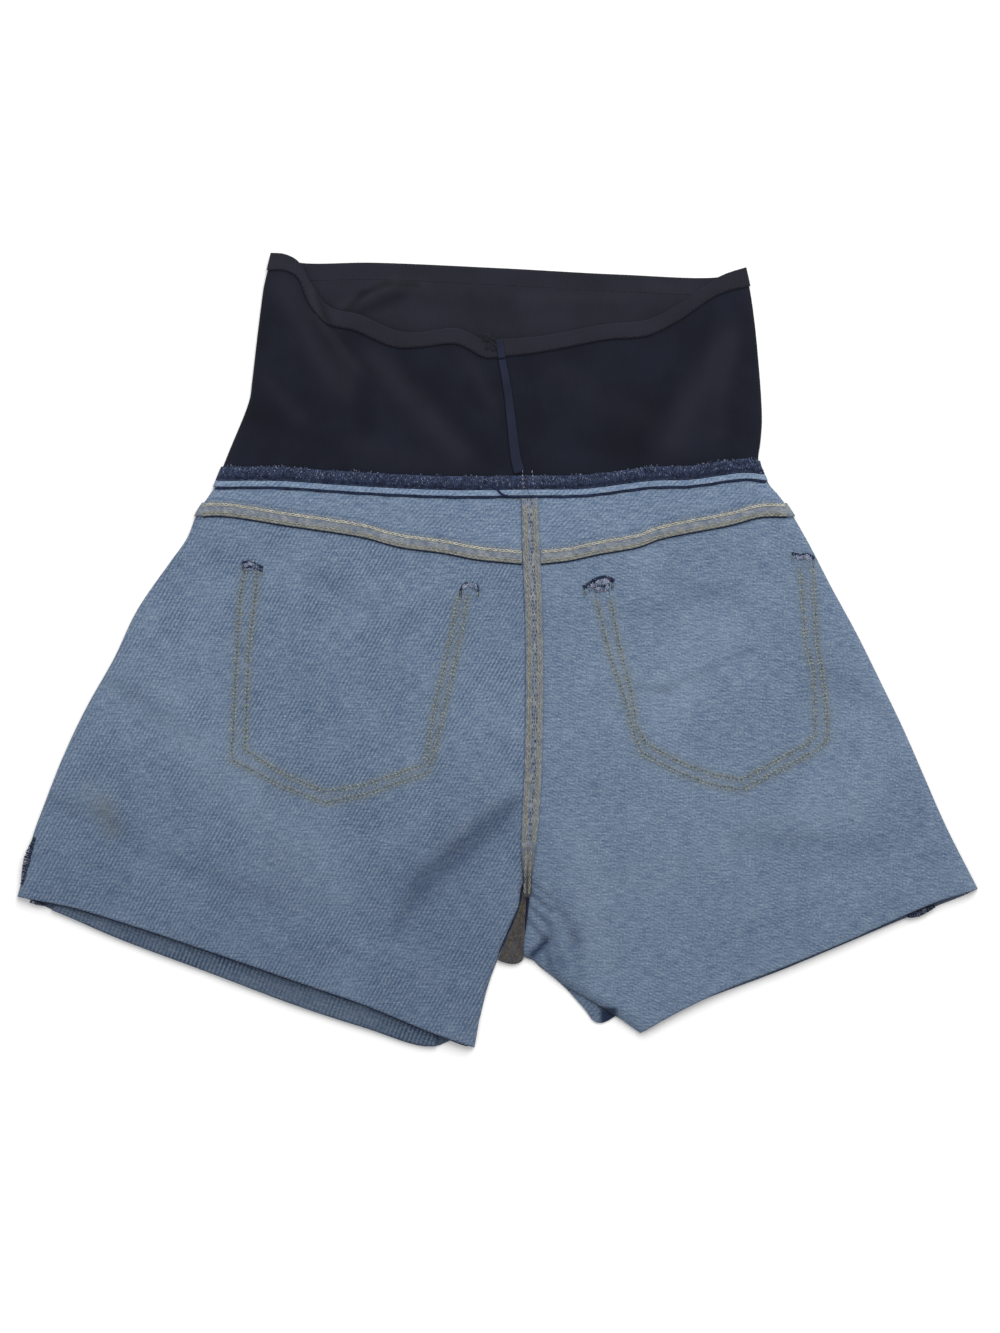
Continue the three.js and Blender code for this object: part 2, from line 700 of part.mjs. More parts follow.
for (const half of HALVES) {
  const { side, turn } = half;
  const outer = line(half.outer);
  const bellySide = line(half.bellySide);
  const last = (stations) => stations[stations.length - 1];
  const toCentre = (stations, dy, x = last(stations).x + turn * HALF_GAP) =>
    moved([...stations.slice(0, -1), { x, y: last(stations).y }], 0, dy);
  const down = (sideLine, top, bottom) => between(sideLine, top.getPointAt(0).y, bottom.getPointAt(0).y);
  const rolled = { across: 11, rollStart: true, rollEnd: true };

  // Back leg, from the yoke seam to the hem
  const legTop = fromSide(toCentre(half.yoke, -HALF_GAP), outer);
  const legCentre = moved(CENTRE_BACK.slice(1, -1), turn * HALF_GAP, 0);
  const hem = line(half.hem);
  onSeat(`back_leg_${side}`, "denim", DENIM, side, -DENIM, {
    top: legTop,
    bottom: hem,
    start: down(outer, legTop, hem),
    end: line([legTop.getPointAt(1), ...legCentre, ...half.inner]),
    down: 18,
    ...rolled,
  });

  // Yoke, between the waist seam and the yoke seam
  const yokeTop = fromSide(toCentre(half.waist, -HALF_GAP), outer);
  const yokeBottom = fromSide(toCentre(half.yoke, HALF_GAP), outer);
  onSeat(`yoke_${side}`, "denim", DENIM, side, -DENIM, {
    top: yokeTop,
    bottom: yokeBottom,
    start: down(outer, yokeTop, yokeBottom),
    end: line([yokeTop.getPointAt(1), yokeBottom.getPointAt(1)]),
    down: 3,
    ...rolled,
  });

  // Back of the belly panel and its turned hem
  const bellyTop = line(toCentre(half.bellyTop, 0));
  const bellyBottom = fromSide(toCentre(half.waist, HALF_GAP), bellySide);
  const bellyCentre = moved(BELLY_CENTRE, turn * HALF_GAP, 0);
  onSeat(`belly_back_${side}`, "jersey", JERSEY, side, -JERSEY, {
    top: bellyTop,
    bottom: bellyBottom,
    start: down(bellySide, bellyTop, bellyBottom),
    end: line([...bellyCentre.slice(0, -1), bellyBottom.getPointAt(1)]),
    down: 11,
    ...rolled,
  });
  const bellyHem = fromSide(toCentre(half.bellyHem, 0), bellySide);
  onSeat(`belly_hem_back_${side}`, "jersey_face", JERSEY, side, SEAM_GAP, {
    top: bellyTop,
    bottom: bellyHem,
    start: down(bellySide, bellyTop, bellyHem),
    end: line([bellyTop.getPointAt(1), bellyHem.getPointAt(1)]),
    down: 1,
    ...rolled,
  });

  // Waist seam allowance on the belly panel: light denim, then the overlocked band
  const above = (distance, x) => fromSide(toCentre(half.waist, distance, x), bellySide);
  const bands = [
    { name: "waist_allowance", cloth: "denim", from: HALF_GAP, to: WAIST_DENIM, x: [20.8, 19.6] },
    {
      name: "waist_serging",
      cloth: "serged",
      from: WAIST_DENIM + SEAM_GAP,
      to: WAIST_DENIM + SEAM_GAP + WAIST_SERGING,
      x: [19.5, 16.5],
    },
  ];
  for (const { name, cloth, from, to, x } of bands) {
    const upper = above(to, x[1] + turn * HALF_GAP);
    const lower = above(from, x[0] + turn * HALF_GAP);
    onSeat(`${name}_${side}`, cloth, SEWN, side, SEAM_GAP, {
      top: upper,
      bottom: lower,
      start: down(bellySide, upper, lower),
      end: line([upper.getPointAt(1), lower.getPointAt(1)]),
      down: 1,
      ...rolled,
    });
  }

  // Felled yoke seam, up to the centre back band
  const fellEnd = 22 + turn * (11.2 / 2 + SEAM_GAP);
  const fellTop = fromSide(toCentre(half.yoke, YOKE_FELL_ABOVE, fellEnd), outer);
  const fellBottom = fromSide(toCentre(half.yoke, -YOKE_FELL_BELOW, fellEnd), outer);
  onSeat(`yoke_fell_${side}`, "felled", SEWN, side, SEAM_GAP, {
    top: fellTop,
    bottom: fellBottom,
    start: down(outer, fellTop, fellBottom),
    end: line([fellTop.getPointAt(1), fellBottom.getPointAt(1)]),
    down: 1,
    ...rolled,
  });

  // Back pocket under the seat panel
  const { mouth, foot } = half.pocket;
  onSeat(`back_pocket_${side}`, "denim", SEWN, side, -DENIM - SEAM_GAP - SEWN, {
    top: line(mouth),
    bottom: folded(foot),
    start: line([mouth[0], foot[0]]),
    end: line([mouth[1], foot[2]]),
    across: 8,
    down: 8,
  });

  // Cuffs turned up inside the leg opening
  const frontHem = line(half.frontHem);
  const cuff = (hemLine, shares) => ({
    top: beside(hemLine, -turn * CUFF, ...shares),
    bottom: beside(hemLine, -turn * CUFF_INSET, ...shares),
    across: 16,
    down: 2,
  });
  const closed = (shape) => ({
    ...shape,
    start: line([shape.top.getPointAt(0), shape.bottom.getPointAt(0)]),
    end: line([shape.top.getPointAt(1), shape.bottom.getPointAt(1)]),
  });
  const underSeat = -2 * DENIM - SEAM_GAP;
  onSeat(`cuff_back_${side}`, "denim", DENIM, side, underSeat, closed(cuff(hem, half.cuffShares)));
  laid(`cuff_front_${side}`, "denim", DENIM, DENIM + SEAM_GAP, closed(cuff(frontHem, half.frontCuffShares)));

  // Front leg and the allowances beside it, on the lower layer
  const scoopEdge = beside(line(SCOOP), -SCOOP_ALLOWANCE / 2 - SEAM_GAP);
  const sideInner = beside(outer, -turn * (SIDE_ALLOWANCE + SEAM_GAP));
  const atSide = nearestShare(scoopEdge, sideInner, turn < 0 ? [0, 0.5] : [0.5, 1]);
  const centreX = CENTRE_FRONT[0].x + turn * (FRONT_FELL / 2 + SEAM_GAP);
  const atCentre = shareAtX(scoopEdge, centreX);
  const legTopEdge = beside(scoopEdge, 0, atSide, atCentre);
  const sideShare = nearestShare(sideInner, legTopEdge, [0, 0.3]);
  const legStart = beside(sideInner, 0, sideShare, 1);
  const centreEdge = moved(CENTRE_FRONT, turn * (FRONT_FELL / 2 + SEAM_GAP), 0);
  const frontInner = line(half.frontInner);
  const inseamEdge = beside(frontInner, turn * (INSEAM_ALLOWANCE + SEAM_GAP));
  const legEnd = line([
    legTopEdge.getPointAt(1),
    ...centreEdge.slice(1, -2),
    ...half.frontCrotch,
    ...inseamEdge.getSpacedPoints(4),
  ]);
  laid(`front_leg_${side}`, "denim", DENIM, 0, {
    top: legTopEdge,
    bottom: line([legStart.getPointAt(1), ...half.frontHem.slice(1, -1), inseamEdge.getPointAt(1)]),
    start: legStart,
    end: legEnd,
    across: 13,
    down: 16,
  });
  const sideTurn = -turn * (SIDE_ALLOWANCE - ALLOWANCE_TRIM);
  const [edge, cut] = [0, sideTurn].map((d) => beside(outer, d, sideShare + ALLOWANCE_START, 1));
  laid(`side_allowance_${side}`, "serged", DENIM, 0, strip(edge, cut, 16));
  laid(
    `inseam_allowance_${side}`,
    "serged",
    DENIM,
    0,
    strip(frontInner, beside(frontInner, turn * (INSEAM_ALLOWANCE - ALLOWANCE_TRIM)), 8),
  );
}

// Bands along the centre
onSeat("centre_back_fell", "felled", SEWN, "both", SEAM_GAP, strip(...bandEdges(CENTRE_FELL), 22, 2));
onSeat("belly_centre_seam", "jersey", SEWN, "both", SEAM_GAP, strip(...bandEdges(BELLY_SEAM), 8, 2));
laid("crotch_fell", "felled", SEWN, DENIM + SEAM_GAP, strip(line(CROTCH_LEFT), line(CROTCH_RIGHT), 8));
const frontFell = [-1, 1].map((turn) => line(moved(CENTRE_FRONT, (turn * FRONT_FELL) / 2, 0)));
laid("centre_front_fell", "felled", DENIM, 0, strip(...frontFell, 12));

// Front of the belly panel, the turned hem under it and the scoop's allowance
const scoop = line(SCOOP);
const bellyFoot = beside(scoop, SCOOP_ALLOWANCE / 2 + SEAM_GAP, 0.004, 0.996);
laid(
  "belly_front",
  "jersey_face",
  JERSEY,
  0,
  {
    top: line(FRONT_TOP),
    bottom: bellyFoot,
    start: line([FRONT_TOP[0], ...BELLY_SIDE_LEFT.slice(1, -1), bellyFoot.getPointAt(0)]),
    end: line([FRONT_TOP[6], ...BELLY_SIDE_RIGHT.slice(1, -1), bellyFoot.getPointAt(1)]),
    across: 28,
    down: 14,
  },
  frontLift,
);
const frontTopLine = line(FRONT_TOP);
const hemLines = [0.6, FRONT_HEM_TURN].map((inset) => beside(frontTopLine, -inset, 0.012, 0.988));
laid("belly_hem_front", "jersey", JERSEY, 0, {
  top: hemLines[0],
  bottom: hemLines[1],
  start: line([hemLines[0].getPointAt(0), hemLines[1].getPointAt(0)]),
  end: line([hemLines[0].getPointAt(1), hemLines[1].getPointAt(1)]),
  across: 22,
  down: 1,
});
const scoopLines = [SCOOP_ALLOWANCE / 2, -SCOOP_ALLOWANCE / 2].map((distance) => beside(scoop, distance));
laid("front_scoop_allowance", "serged", SEWN, 0, {
  top: scoopLines[0],
  bottom: scoopLines[1],
  start: line([scoopLines[0].getPointAt(0), scoopLines[1].getPointAt(0)]),
  end: line([scoopLines[0].getPointAt(1), scoopLines[1].getPointAt(1)]),
  across: 28,
  down: 1,
});

// The origin goes under the middle of what was laid out
const box = new THREE.Box3().setFromObject(group);
const middle = box.getCenter(new THREE.Vector3());
group.children.forEach((mesh) => mesh.geometry.translate(-middle.x, -middle.y, -box.min.z));
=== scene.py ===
"""Maternity denim shorts, inside out and laid flat: cloth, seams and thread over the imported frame.

Tables and sizes are in millimetres, as the part has them. MM turns them into metres.
"""
import math

import bpy
import numpy as np
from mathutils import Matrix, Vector


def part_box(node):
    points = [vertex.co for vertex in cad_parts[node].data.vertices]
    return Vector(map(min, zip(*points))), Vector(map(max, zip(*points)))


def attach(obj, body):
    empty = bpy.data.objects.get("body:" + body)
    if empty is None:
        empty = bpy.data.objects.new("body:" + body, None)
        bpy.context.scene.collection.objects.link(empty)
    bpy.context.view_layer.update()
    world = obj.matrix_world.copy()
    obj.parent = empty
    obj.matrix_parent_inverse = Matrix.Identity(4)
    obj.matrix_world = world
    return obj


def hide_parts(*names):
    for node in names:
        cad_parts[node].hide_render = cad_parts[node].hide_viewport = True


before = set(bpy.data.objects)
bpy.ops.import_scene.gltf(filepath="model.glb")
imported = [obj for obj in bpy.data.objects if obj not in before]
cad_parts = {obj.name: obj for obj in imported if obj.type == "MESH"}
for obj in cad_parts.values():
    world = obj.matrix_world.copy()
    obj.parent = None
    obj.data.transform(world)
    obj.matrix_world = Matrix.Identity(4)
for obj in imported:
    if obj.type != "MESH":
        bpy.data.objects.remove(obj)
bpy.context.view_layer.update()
rng = np.random.default_rng(7)

MM = 0.001
# Thickness of denim, jersey, a sewn strip and a single turned hem, and the air between layers and between pieces
DENIM, JERSEY, SEWN, TURNED, GAP = 1.2, 1.0, 1.0, 0.55, 0.3
# Height of the upper layer's top face over the belly and the seat, and the span in y over which it changes
BELLY_REST, SEAT_REST, WAIST_LOW, WAIST_HIGH = 4.4, 5.2, 92, 112
# Rise over a cuff and the distances from the hem between which it ends; width of the rolled edges
CUFF_RISE, CUFF_RISE_TO, CUFF_RISE_FROM, ROLL = 1.1, 31, 46, 8
# Distances of a cuff's two edges from its hem, and its crease in the leg above
CUFF_EDGES, CUFF_MARK = (25, 0.4), 27
FRONT_HEM_TURN, FRONT_HEM_LIFT = 11, 1.3
# How far the front leg stays from the scoop, the centre, the side and the inseam, where other strips are sewn on
SCOOP_CLEAR, CENTRE_CLEAR, SIDE_CLEAR, INSEAM_CLEAR = 4.3, 5.3, 9.3, 8.3
# Name, material, low and high edge over the waist line and the x at the centre of each, for the waist seam's strips
WAIST_SEAM = (("allowance", "strip", GAP / 2, 3.8, 20.8, 19.6), ("serging", "serged", 4.1, 12.9, 19.5, 16.5))
# The centre seam's x at the yoke, the felled band's width there, and the yoke band's edges over the yoke line
CENTRE_X, FELL_WIDTH, FELL_HIGH, FELL_LOW = 22, 11.2, 3.4, -5
# Painted shade: the legs darker towards the hems
LEG_SHADE = 0.15

SIDE = {
    "left": [(-181, 104.6), (-192.3, 87.4), (-198.7, 72), (-209.6, 56.6), (-230.7, 25.9), (-245.4, -4.8),
        (-262.7, -35.5), (-277.4, -66.2), (-289.6, -97), (-297.5, -118.7), (-301.8, -137.3), (-307.5, -157.5)],
    "right": [(172.5, 108.5), (184, 95), (198, 72), (214, 41.3), (230.7, 10.6), (246, -20.2), (260.8, -50.9),
        (274.2, -81.6), (287.7, -112.3), (308.2, -152.6)],
}
CENTRE_BACK = [(22, 60.5), (23.7, 19.5), (24, -31.7), (23, -78.4), (21.4, -108), (20, -128), (18.2, -147)]
INNER = {
    "left": [(18, -147), (15.2, -154), (14.4, -163), (10.2, -172.5), (4.5, -185.9), (-0.6, -199.4), (-5.1, -212.8),
        (-9.6, -228.2), (-14.4, -254.4)],
    "right": [(18.4, -147), (20.6, -154), (20.2, -163), (18.6, -177), (16.8, -189), (17.6, -196), (23.4, -198.8),
        (32, -206), (44, -215), (59.5, -223.9), (75.5, -233.9), (91.6, -245.2)],
}
HEM = {
    "left": [(-307.5, -157.5), (-273, -164.2), (-233.5, -176), (-182.7, -193), (-127.4, -212.2), (-84.8, -226.9),
        (-42.6, -244.2), (-14.4, -254.4)],
    "right": [(308.2, -152.6), (279.4, -161.6), (222.4, -186.6), (183.4, -202.6), (143.7, -218), (112.3, -233.3),
        (91.6, -245.2)],
}
WAIST = {
    "left": [(-181, 104.6), (-141.8, 104.6), (-102.7, 102.1), (-63, 99.8), (-27.2, 98.6), (20.8, 99)],
    "right": [(172.5, 108.5), (159, 109.8), (123.2, 105.3), (98.9, 104.6), (56, 99.5), (20.8, 99)],
}
YOKE = {
    "left": [(-190.2, 90.8), (-175, 91), (-133.4, 84.8), (-85.4, 77.4), (-63, 71.4), (-33, 67.2), (-13.8, 63.4),
        (22, 60.5)],
    "right": [(187, 90.6), (168, 90.2), (150, 85.4), (104, 76.2), (91.2, 71.4), (65, 66.6), (45.1, 62.4), (22, 60.5)],
}
BELLY_SIDE = {
    "left": [(-144.3, 254.7), (-146.9, 243.5), (-149.4, 233.3), (-152.6, 210.2), (-157.1, 171.8), (-158.6, 161),
        (-172.5, 125.8), (-181, 104.6)],
    "right": [(159, 245.4), (161.6, 233.3), (164.2, 217.9), (166.8, 194.9), (169.9, 148.8), (168.9, 133.4),
        (167.6, 121), (172.5, 108.5)],
}
BELLY_CENTRE = [(1.6, 199.4), (2.9, 187.8), (6.7, 166.7), (9.3, 145), (12.4, 119.4), (20.8, 99)]
BELLY_TOP = {
    "left": [(-144.3, 254.7), (-136, 253.8), (-127.6, 249.4), (-117.8, 233), (-107.2, 220), (-88.2, 215.2),
        (-63.2, 204.6), (-49.6, 203.8), (-25.9, 206.4), (-7.4, 198.7), (1.6, 199.4)],
    "right": [(159, 245.4), (143, 239.7), (115.5, 221.5), (96.3, 211.9), (70, 209), (27.2, 201.3), (1.6, 199.4)],
}
BELLY_HEM = {
    "left": [(-146.9, 243.5), (-136, 242.9), (-128.3, 239), (-120.6, 222.4), (-110, 209.5), (-91.2, 204.6),
        (-66.2, 194.2), (-49.6, 193.9), (-25.9, 196), (-7.4, 187.2), (2.9, 187.8)],
    "right": [(161.6, 233.3), (141.5, 227.4), (115.5, 210.4), (96.3, 201.3), (70, 198.7), (27.2, 190.7), (2.9, 187.8)],
}
FRONT_TOP = [(-143.6, 252.6), (-125.1, 248.4), (-80.3, 248.6), (1.6, 245.1), (78.4, 241), (143, 239.4), (158.6, 244)]
SCOOP = [(-185, 98), (-128, 72), (-60, 43), (20, 32), (92, 45), (142, 74), (181.3, 98)]
CENTRE_FRONT = [(20, 27.4), (19, -60), (17, -120), (13, -165), (9.4, -196)]
FRONT_CROTCH = {"left": [(8.8, -150), (-3.4, -181)], "right": [(20.6, -150), (23.8, -174)]}
FRONT_INNER = {
    "left": [(2, -194), (-3.4, -208), (-7, -219.2), (-11.4, -237), (-15, -249)],
    "right": [(18.6, -193), (29, -206), (41, -219), (50, -227), (63, -238)],
}
FRONT_HEM = {
    "left": [(-299.2, -161), (-266.2, -174.7), (-240.3, -185.8), (-186.8, -205.8), (-127.4, -228.2), (-84.8, -242),
        (-42.6, -254), (-15, -249)],
    "right": [(297, -156), (259.5, -172.5), (183.4, -204.5), (143.7, -219.4), (112.3, -231.4), (88, -237.6),
        (63, -238)],
}
FRONT_CUFF_SHARES = {"left": (0.05, 0.92), "right": (0.07, 0.9)}
BACK_CUFF_SHARES = {"left": (0.035, 0.95), "right": (0.065, 0.94)}
INSEAM_END = {
    "left": FRONT_INNER["left"],
    "right": [(18.6, -193), (26, -201.4), (36, -209.4), (44, -216.2), (50, -222.8), (54.4, -227.8), (58, -232.4),
        (60.8, -236.4)],
}
INSEAM_TIP = {"left": [], "right": [(75.8, -234.4)]}
INSEAM_FOOT = {"left": [(-19, -248.6)], "right": [(63.2, -238.2), (66.8, -238.8), (71, -237.4)]}
CENTRE_FELL = [(20.8, 97.4, 10.4), (22, 60.5, 11.2), (23.7, 19.5, 11.2), (24, -31.7, 11.2), (23, -78.4, 11),
        (21.4, -108, 10.6), (20, -128, 9), (19.6, -141, 6.6), (19.4, -150, 5), (19, -158, 4)]
BELLY_SEAM = [(3.1, 186.4, 4.6), (6.7, 166.7, 5), (9.3, 145, 5.6), (12, 123, 6.4), (14.4, 113.8, 6.8)]
CROTCH = {
    "left": [(16, -155), (15, -163), (11, -172.5), (5.4, -186), (0.6, -198.4)],
    "right": [(18.9, -155.5), (18.7, -163), (17.8, -177), (18.2, -189), (16.9, -197.4)],
}
POCKET_ROWS = {
    "left": [
        [(-161.3, 50.9), (-164.5, 32.3), (-166.4, 0.3), (-167.7, -26.6), (-169.6, -65), (-169, -70.7),
            (-137.6, -86.7), (-110.1, -97.6), (-84.5, -92.5), (-63.4, -84.8), (-44.2, -78.4), (-41, -68.8),
            (-35.8, -47.7), (-31.4, -26.6), (-26.2, -5.4), (-18.6, 35.5)],
        [(-153.6, 50.9), (-154.9, 32.3), (-158.7, 0.3), (-160, -26.6), (-161.3, -63.7), (-135.7, -79.7),
            (-109.4, -90.6), (-84.5, -86.1), (-63.4, -79), (-48, -73.3), (-44.8, -66.9), (-42.2, -47.7),
            (-37.8, -26.6), (-32.6, -5.4), (-24.3, 35.5)],
    ],
    "right": [
        [(63.4, 32.3), (68.5, 11.8), (73, -5.4), (80.6, -26.6), (85.8, -47.7), (92.2, -65.6), (116.5, -78.4),
            (137.6, -86.1), (156.8, -89.3), (179.8, -77.1), (201.6, -65.6), (211.2, -57.9), (211.2, -39.4),
            (208, -13.8), (204.8, 2.9), (201.6, 52.8)],
        [(73, 32.3), (76.2, 11.8), (80.6, -5.4), (85.8, -26.6), (89, -47.7), (95.4, -59.8), (117.8, -72),
            (138.9, -79.7), (156.8, -82.9), (178.6, -70.7), (197.8, -60.5), (204.2, -52.8), (203.5, -39.4),
            (202.2, -13.8), (197.8, 2.9), (193.9, 52.8)],
    ],
}
# Each fold: from x, y to x, y, height (a trough where negative), width. FOLDS are the soft ones the solids share
FOLDS = [
    (-135, 232, -104, 176, 1.1, 10), (-108, 196, -86, 150, -0.8, 8), (-76, 184, -27, 128, 1.0, 9),
    (-38, 158, -6, 124, -0.7, 8), (124, 194, 96, 140, -0.7, 9), (142, 190, 114, 136, 1.0, 10),
    (-46, -148, -4, -112, -0.7, 12), (54, -130, 66, -186, 0.8, 14), (100, -26, 168, 30, 0.5, 18),
    (-232, -22, -128, -130, 0.6, 26), (96, -140, 226, -96, 0.5, 20),
]
CREASES = [
    (-119, 228, -114.6, 211, 0.8, 3), (-114.6, 211, -106, 198, 1.1, 3.6), (-106, 198, -93, 183, 0.9, 5),
    (-115, 226, -110.6, 211, -0.8, 2.6), (-110, 211, -100, 196, -1.1, 3), (-100, 196, -84, 180, -0.8, 4.4),
    (10, -99, -24, -129, -0.75, 4.5), (-24, -129, -46, -146, -0.6, 5), (-46, -146, -64, -177, -0.4, 6),
    (-2, -96, -30, -118, 0.45, 5), (39, -163, 50, -184, -0.55, 4), (50, -184, 53, -212, -0.5, 4.5),
    (30, -140, 37, -172, 0.4, 5), (21, -147, 33, -157, -0.8, 1.7), (21, -154, 34, -166, -0.95, 1.7),
    (20, -162, 33, -175, -0.95, 1.7), (19, -171, 30, -184, -0.95, 1.7), (33, -176, 41, -200, -0.5, 3.2),
    (41, -200, 47, -217, -0.5, 3.4), (22.6, -194.5, 31, -186.6, -1.6, 2.4), (31, -187, 33.5, -199, -1.0, 2),
    (33, -199, 38, -208, -0.7, 2), (92, -24, 108, -26, -0.5, 2.6), (108, -26, 162, 0, -0.4, 4),
    (90, 24, 150, 40, -0.3, 5), (-246, -20, -196, -56, -0.35, 6), (-284, -98, -236, -112, -0.35, 7),
    (-120, 50, -60, 20, -0.3, 7), (110, 46, 160, 30, -0.3, 6), (212, -14, 250, -40, -0.35, 7),
    (160, -120, 244, -128, -0.35, 8), (-226, -128, -150, -160, -0.3, 8), (120, -176, 196, -150, 0.3, 8),
    (54, 0, 118, -30, 0.3, 9), (-128, 228, -112, 190, -0.6, 5), (-104, 205, -96, 168, 0.5, 5),
    (-60, 184, -50, 150, -0.5, 5), (136, 214, 126, 160, -0.6, 5), (150, 200, 140, 140, 0.5, 6),
    (40, 176, 90, 150, 0.35, 9), (-150, 150, -110, 132, -0.4, 6), (-20, 186, -4, 160, 0.5, 5),
    (20, 180, 26, 150, -0.4, 5), (60, 132, 110, 122, -0.35, 7), (-90, 130, -40, 118, 0.35, 7),
    (-146, 170, -128, 150, 0.5, 6),
]
FRONT_FOLDS = [
    (-97, 217, -86, 228, -1.2, 1.9), (-86, 228, -71, 234.4, -1.2, 1.8), (-71, 234.4, -52, 234, -0.8, 1.8),
    (-97, 219, -70, 234, 0.9, 4), (-70, 234, -50, 234, 0.7, 4), (-92, 216, -62, 228, -0.5, 4),
    (20, 224, 80, 226, 0.4, 5), (100, 232, 130, 226, 0.4, 5),
]


class Line:
    """A smooth line through stations, read by share of its length."""

    def __init__(self, points, smooth=True):
        p = np.array([q[:2] for q in points], float)
        self.p = self.spline(p) if smooth and len(p) > 2 else p
        step = np.linalg.norm(np.diff(self.p, axis=0), axis=1)
        self.length = step.sum()
        self.s = np.concatenate([[0], np.cumsum(step)]) / self.length

    @staticmethod
    def spline(p, per=20):
        q = np.vstack([2 * p[0] - p[1], p, 2 * p[-1] - p[-2]])
        out = []
        for a, b, c, d in zip(q, q[1:], q[2:], q[3:]):
            x, y, z = (max(1e-4, np.linalg.norm(n - m)) ** 0.5 for m, n in ((a, b), (b, c), (c, d)))
            t1 = ((b - a) / x - (c - a) / (x + y) + (c - b) / y) * y
            t2 = ((c - b) / y - (d - b) / (y + z) + (d - c) / z) * y
            t = np.linspace(0, 1, per, endpoint=False)[:, None]
            out.append(b + t1 * t + (3 * (c - b) - 2 * t1 - t2) * t**2 + (2 * (b - c) + t1 + t2) * t**3)
        return np.vstack(out + [p[-1:]])

    def at(self, u):
        return np.stack([np.interp(u, self.s, self.p[:, k]) for k in (0, 1)], axis=-1)

    def normal(self, u):
        d = self.at(np.minimum(1, np.asarray(u) + 0.004)) - self.at(np.maximum(0, np.asarray(u) - 0.004))
        d /= np.linalg.norm(d, axis=-1, keepdims=True)
        return np.stack([-d[..., 1], d[..., 0]], axis=-1)

    def beside(self, distance, a=0.0, b=1.0, n=90):
        u = np.linspace(a, b, n)
        return Line(self.at(u) + self.normal(u) * distance, smooth=False)

    def share_y(self, y):
        return float(np.interp(-y, -self.p[:, 1], self.s))

    def share_x(self, x):
        return float(np.interp(x, self.p[:, 0], self.s))


def smoothstep(low, high, value):
    t = np.clip((value - low) / (high - low), 0, 1)
    return t * t * (3 - 2 * t)


def mix(a, b, t):
    return a + (b - a) * t


def distance(line, p):
    """Distance of each point from a line."""
    best = np.full(len(p), 1e9)
    a, d = line[:-1], np.diff(line, axis=0)
    for k in range(0, len(p), 4000):
        q = p[k : k + 4000, None, :] - a[None]
        t = np.clip((q * d).sum(-1) / (d * d).sum(-1), 0, 1)
        best[k : k + 4000] = np.linalg.norm(q - t[..., None] * d, axis=-1).min(1)
    return best


def coarse(points, n=110):
    return Line(points).at(np.linspace(0, 1, n))


EDGES = {s: [coarse(BELLY_SIDE[s]), coarse(SIDE[s]), coarse(INNER[s])] for s in SIDE}
TOPS, HEMS, YOKE_LINES, WAIST_LINES = ({s: coarse(t[s]) for s in t} for t in (BELLY_TOP, HEM, YOKE, WAIST))
FRONT_EDGE = coarse(FRONT_TOP)
POCKET_LINES = {s: [Line(r, False).p for r in rows] for s, rows in POCKET_ROWS.items()}


def folds(table, p):
    z = np.zeros(len(p))
    for ax, ay, bx, by, height, width in table:
        d = np.array([bx - ax, by - ay], float)
        length = np.linalg.norm(d)
        q = p - (ax, ay)
        along = q @ d / length
        aside = (q[:, 0] * d[1] - q[:, 1] * d[0]) / length
        past = np.maximum(0, np.maximum(-along, along - length))
        z += height * np.exp(-((aside / width) ** 2) - (past / (1.6 * width)) ** 2)
    return z


WAVES = [(rng.uniform(0, 2 * math.pi), rng.uniform(22, 90), rng.uniform(0, 6.28)) for _ in range(22)]


def loose(p):
    """Small uneven swell of cloth that isn't pressed."""
    z = np.zeros(len(p))
    for turn, length, phase in WAVES:
        z += np.sin((p[:, 0] * math.cos(turn) + p[:, 1] * math.sin(turn)) * 2 * math.pi / length + phase)
    return z / len(WAVES) ** 0.5


def pucker(line, p, reach, length, height):
    """Short ripples across a seam, strongest at the stitches."""
    d = distance(line, p)
    run = p[:, 0] * 0.94 + p[:, 1] * 0.34
    wave = np.sin(run * 2 * math.pi / length + 1.4 * np.sin(run / 13.0)) * (0.6 + 0.4 * np.sin(run / 31.0))
    return height * wave * np.exp(-d / reach)


def front_lift(p):
    return FRONT_HEM_LIFT * (1 - smoothstep(FRONT_HEM_TURN + 5, FRONT_HEM_TURN + 21, distance(FRONT_EDGE, p)))


def seat_top(side, p):
    """Height of the upper layer's top face, and each point's distance from the layer's edge."""
    over = smoothstep(WAIST_LOW, WAIST_HIGH, p[:, 1])
    cuff = 1 - smoothstep(CUFF_RISE_TO, CUFF_RISE_FROM, distance(HEMS[side], p))
    flat = mix(SEAT_REST, BELLY_REST, over) + CUFF_RISE * cuff + folds(FOLDS, p) * (1 - cuff)
    edge = np.min([distance(e, p) for e in EDGES[side]], axis=0)
    inside = smoothstep(0, 12, edge)
    small = folds(CREASES, p) + 0.13 * loose(p)
    small += pucker(YOKE_LINES[side], p, 5, 9.5, 0.2) * (1 - over)
    small += pucker(WAIST_LINES[side], p, 7, 12, 0.22)
    for row in POCKET_LINES[side]:
        small += pucker(row, p, 3, 6.5, 0.1) + 0.14 * np.exp(-((distance(row, p) / 4) ** 2))
    small -= 0.35 * np.exp(-(((distance(HEMS[side], p) - CUFF_MARK) / 2.2) ** 2))
    flat = flat + small * inside - 0.9 * np.exp(-((distance(TOPS[side], p) / 5) ** 2))
    foot = mix(DENIM, JERSEY, over) + GAP + np.where(p[:, 1] > 200, front_lift(p), 0)
    share = np.minimum(1, edge / ROLL)
    return mix(foot, flat, np.sqrt(np.maximum(0, 1 - (1 - share) ** 2))), edge


def both_top(p):
    return np.maximum(seat_top("left", p)[0], seat_top("right", p)[0])


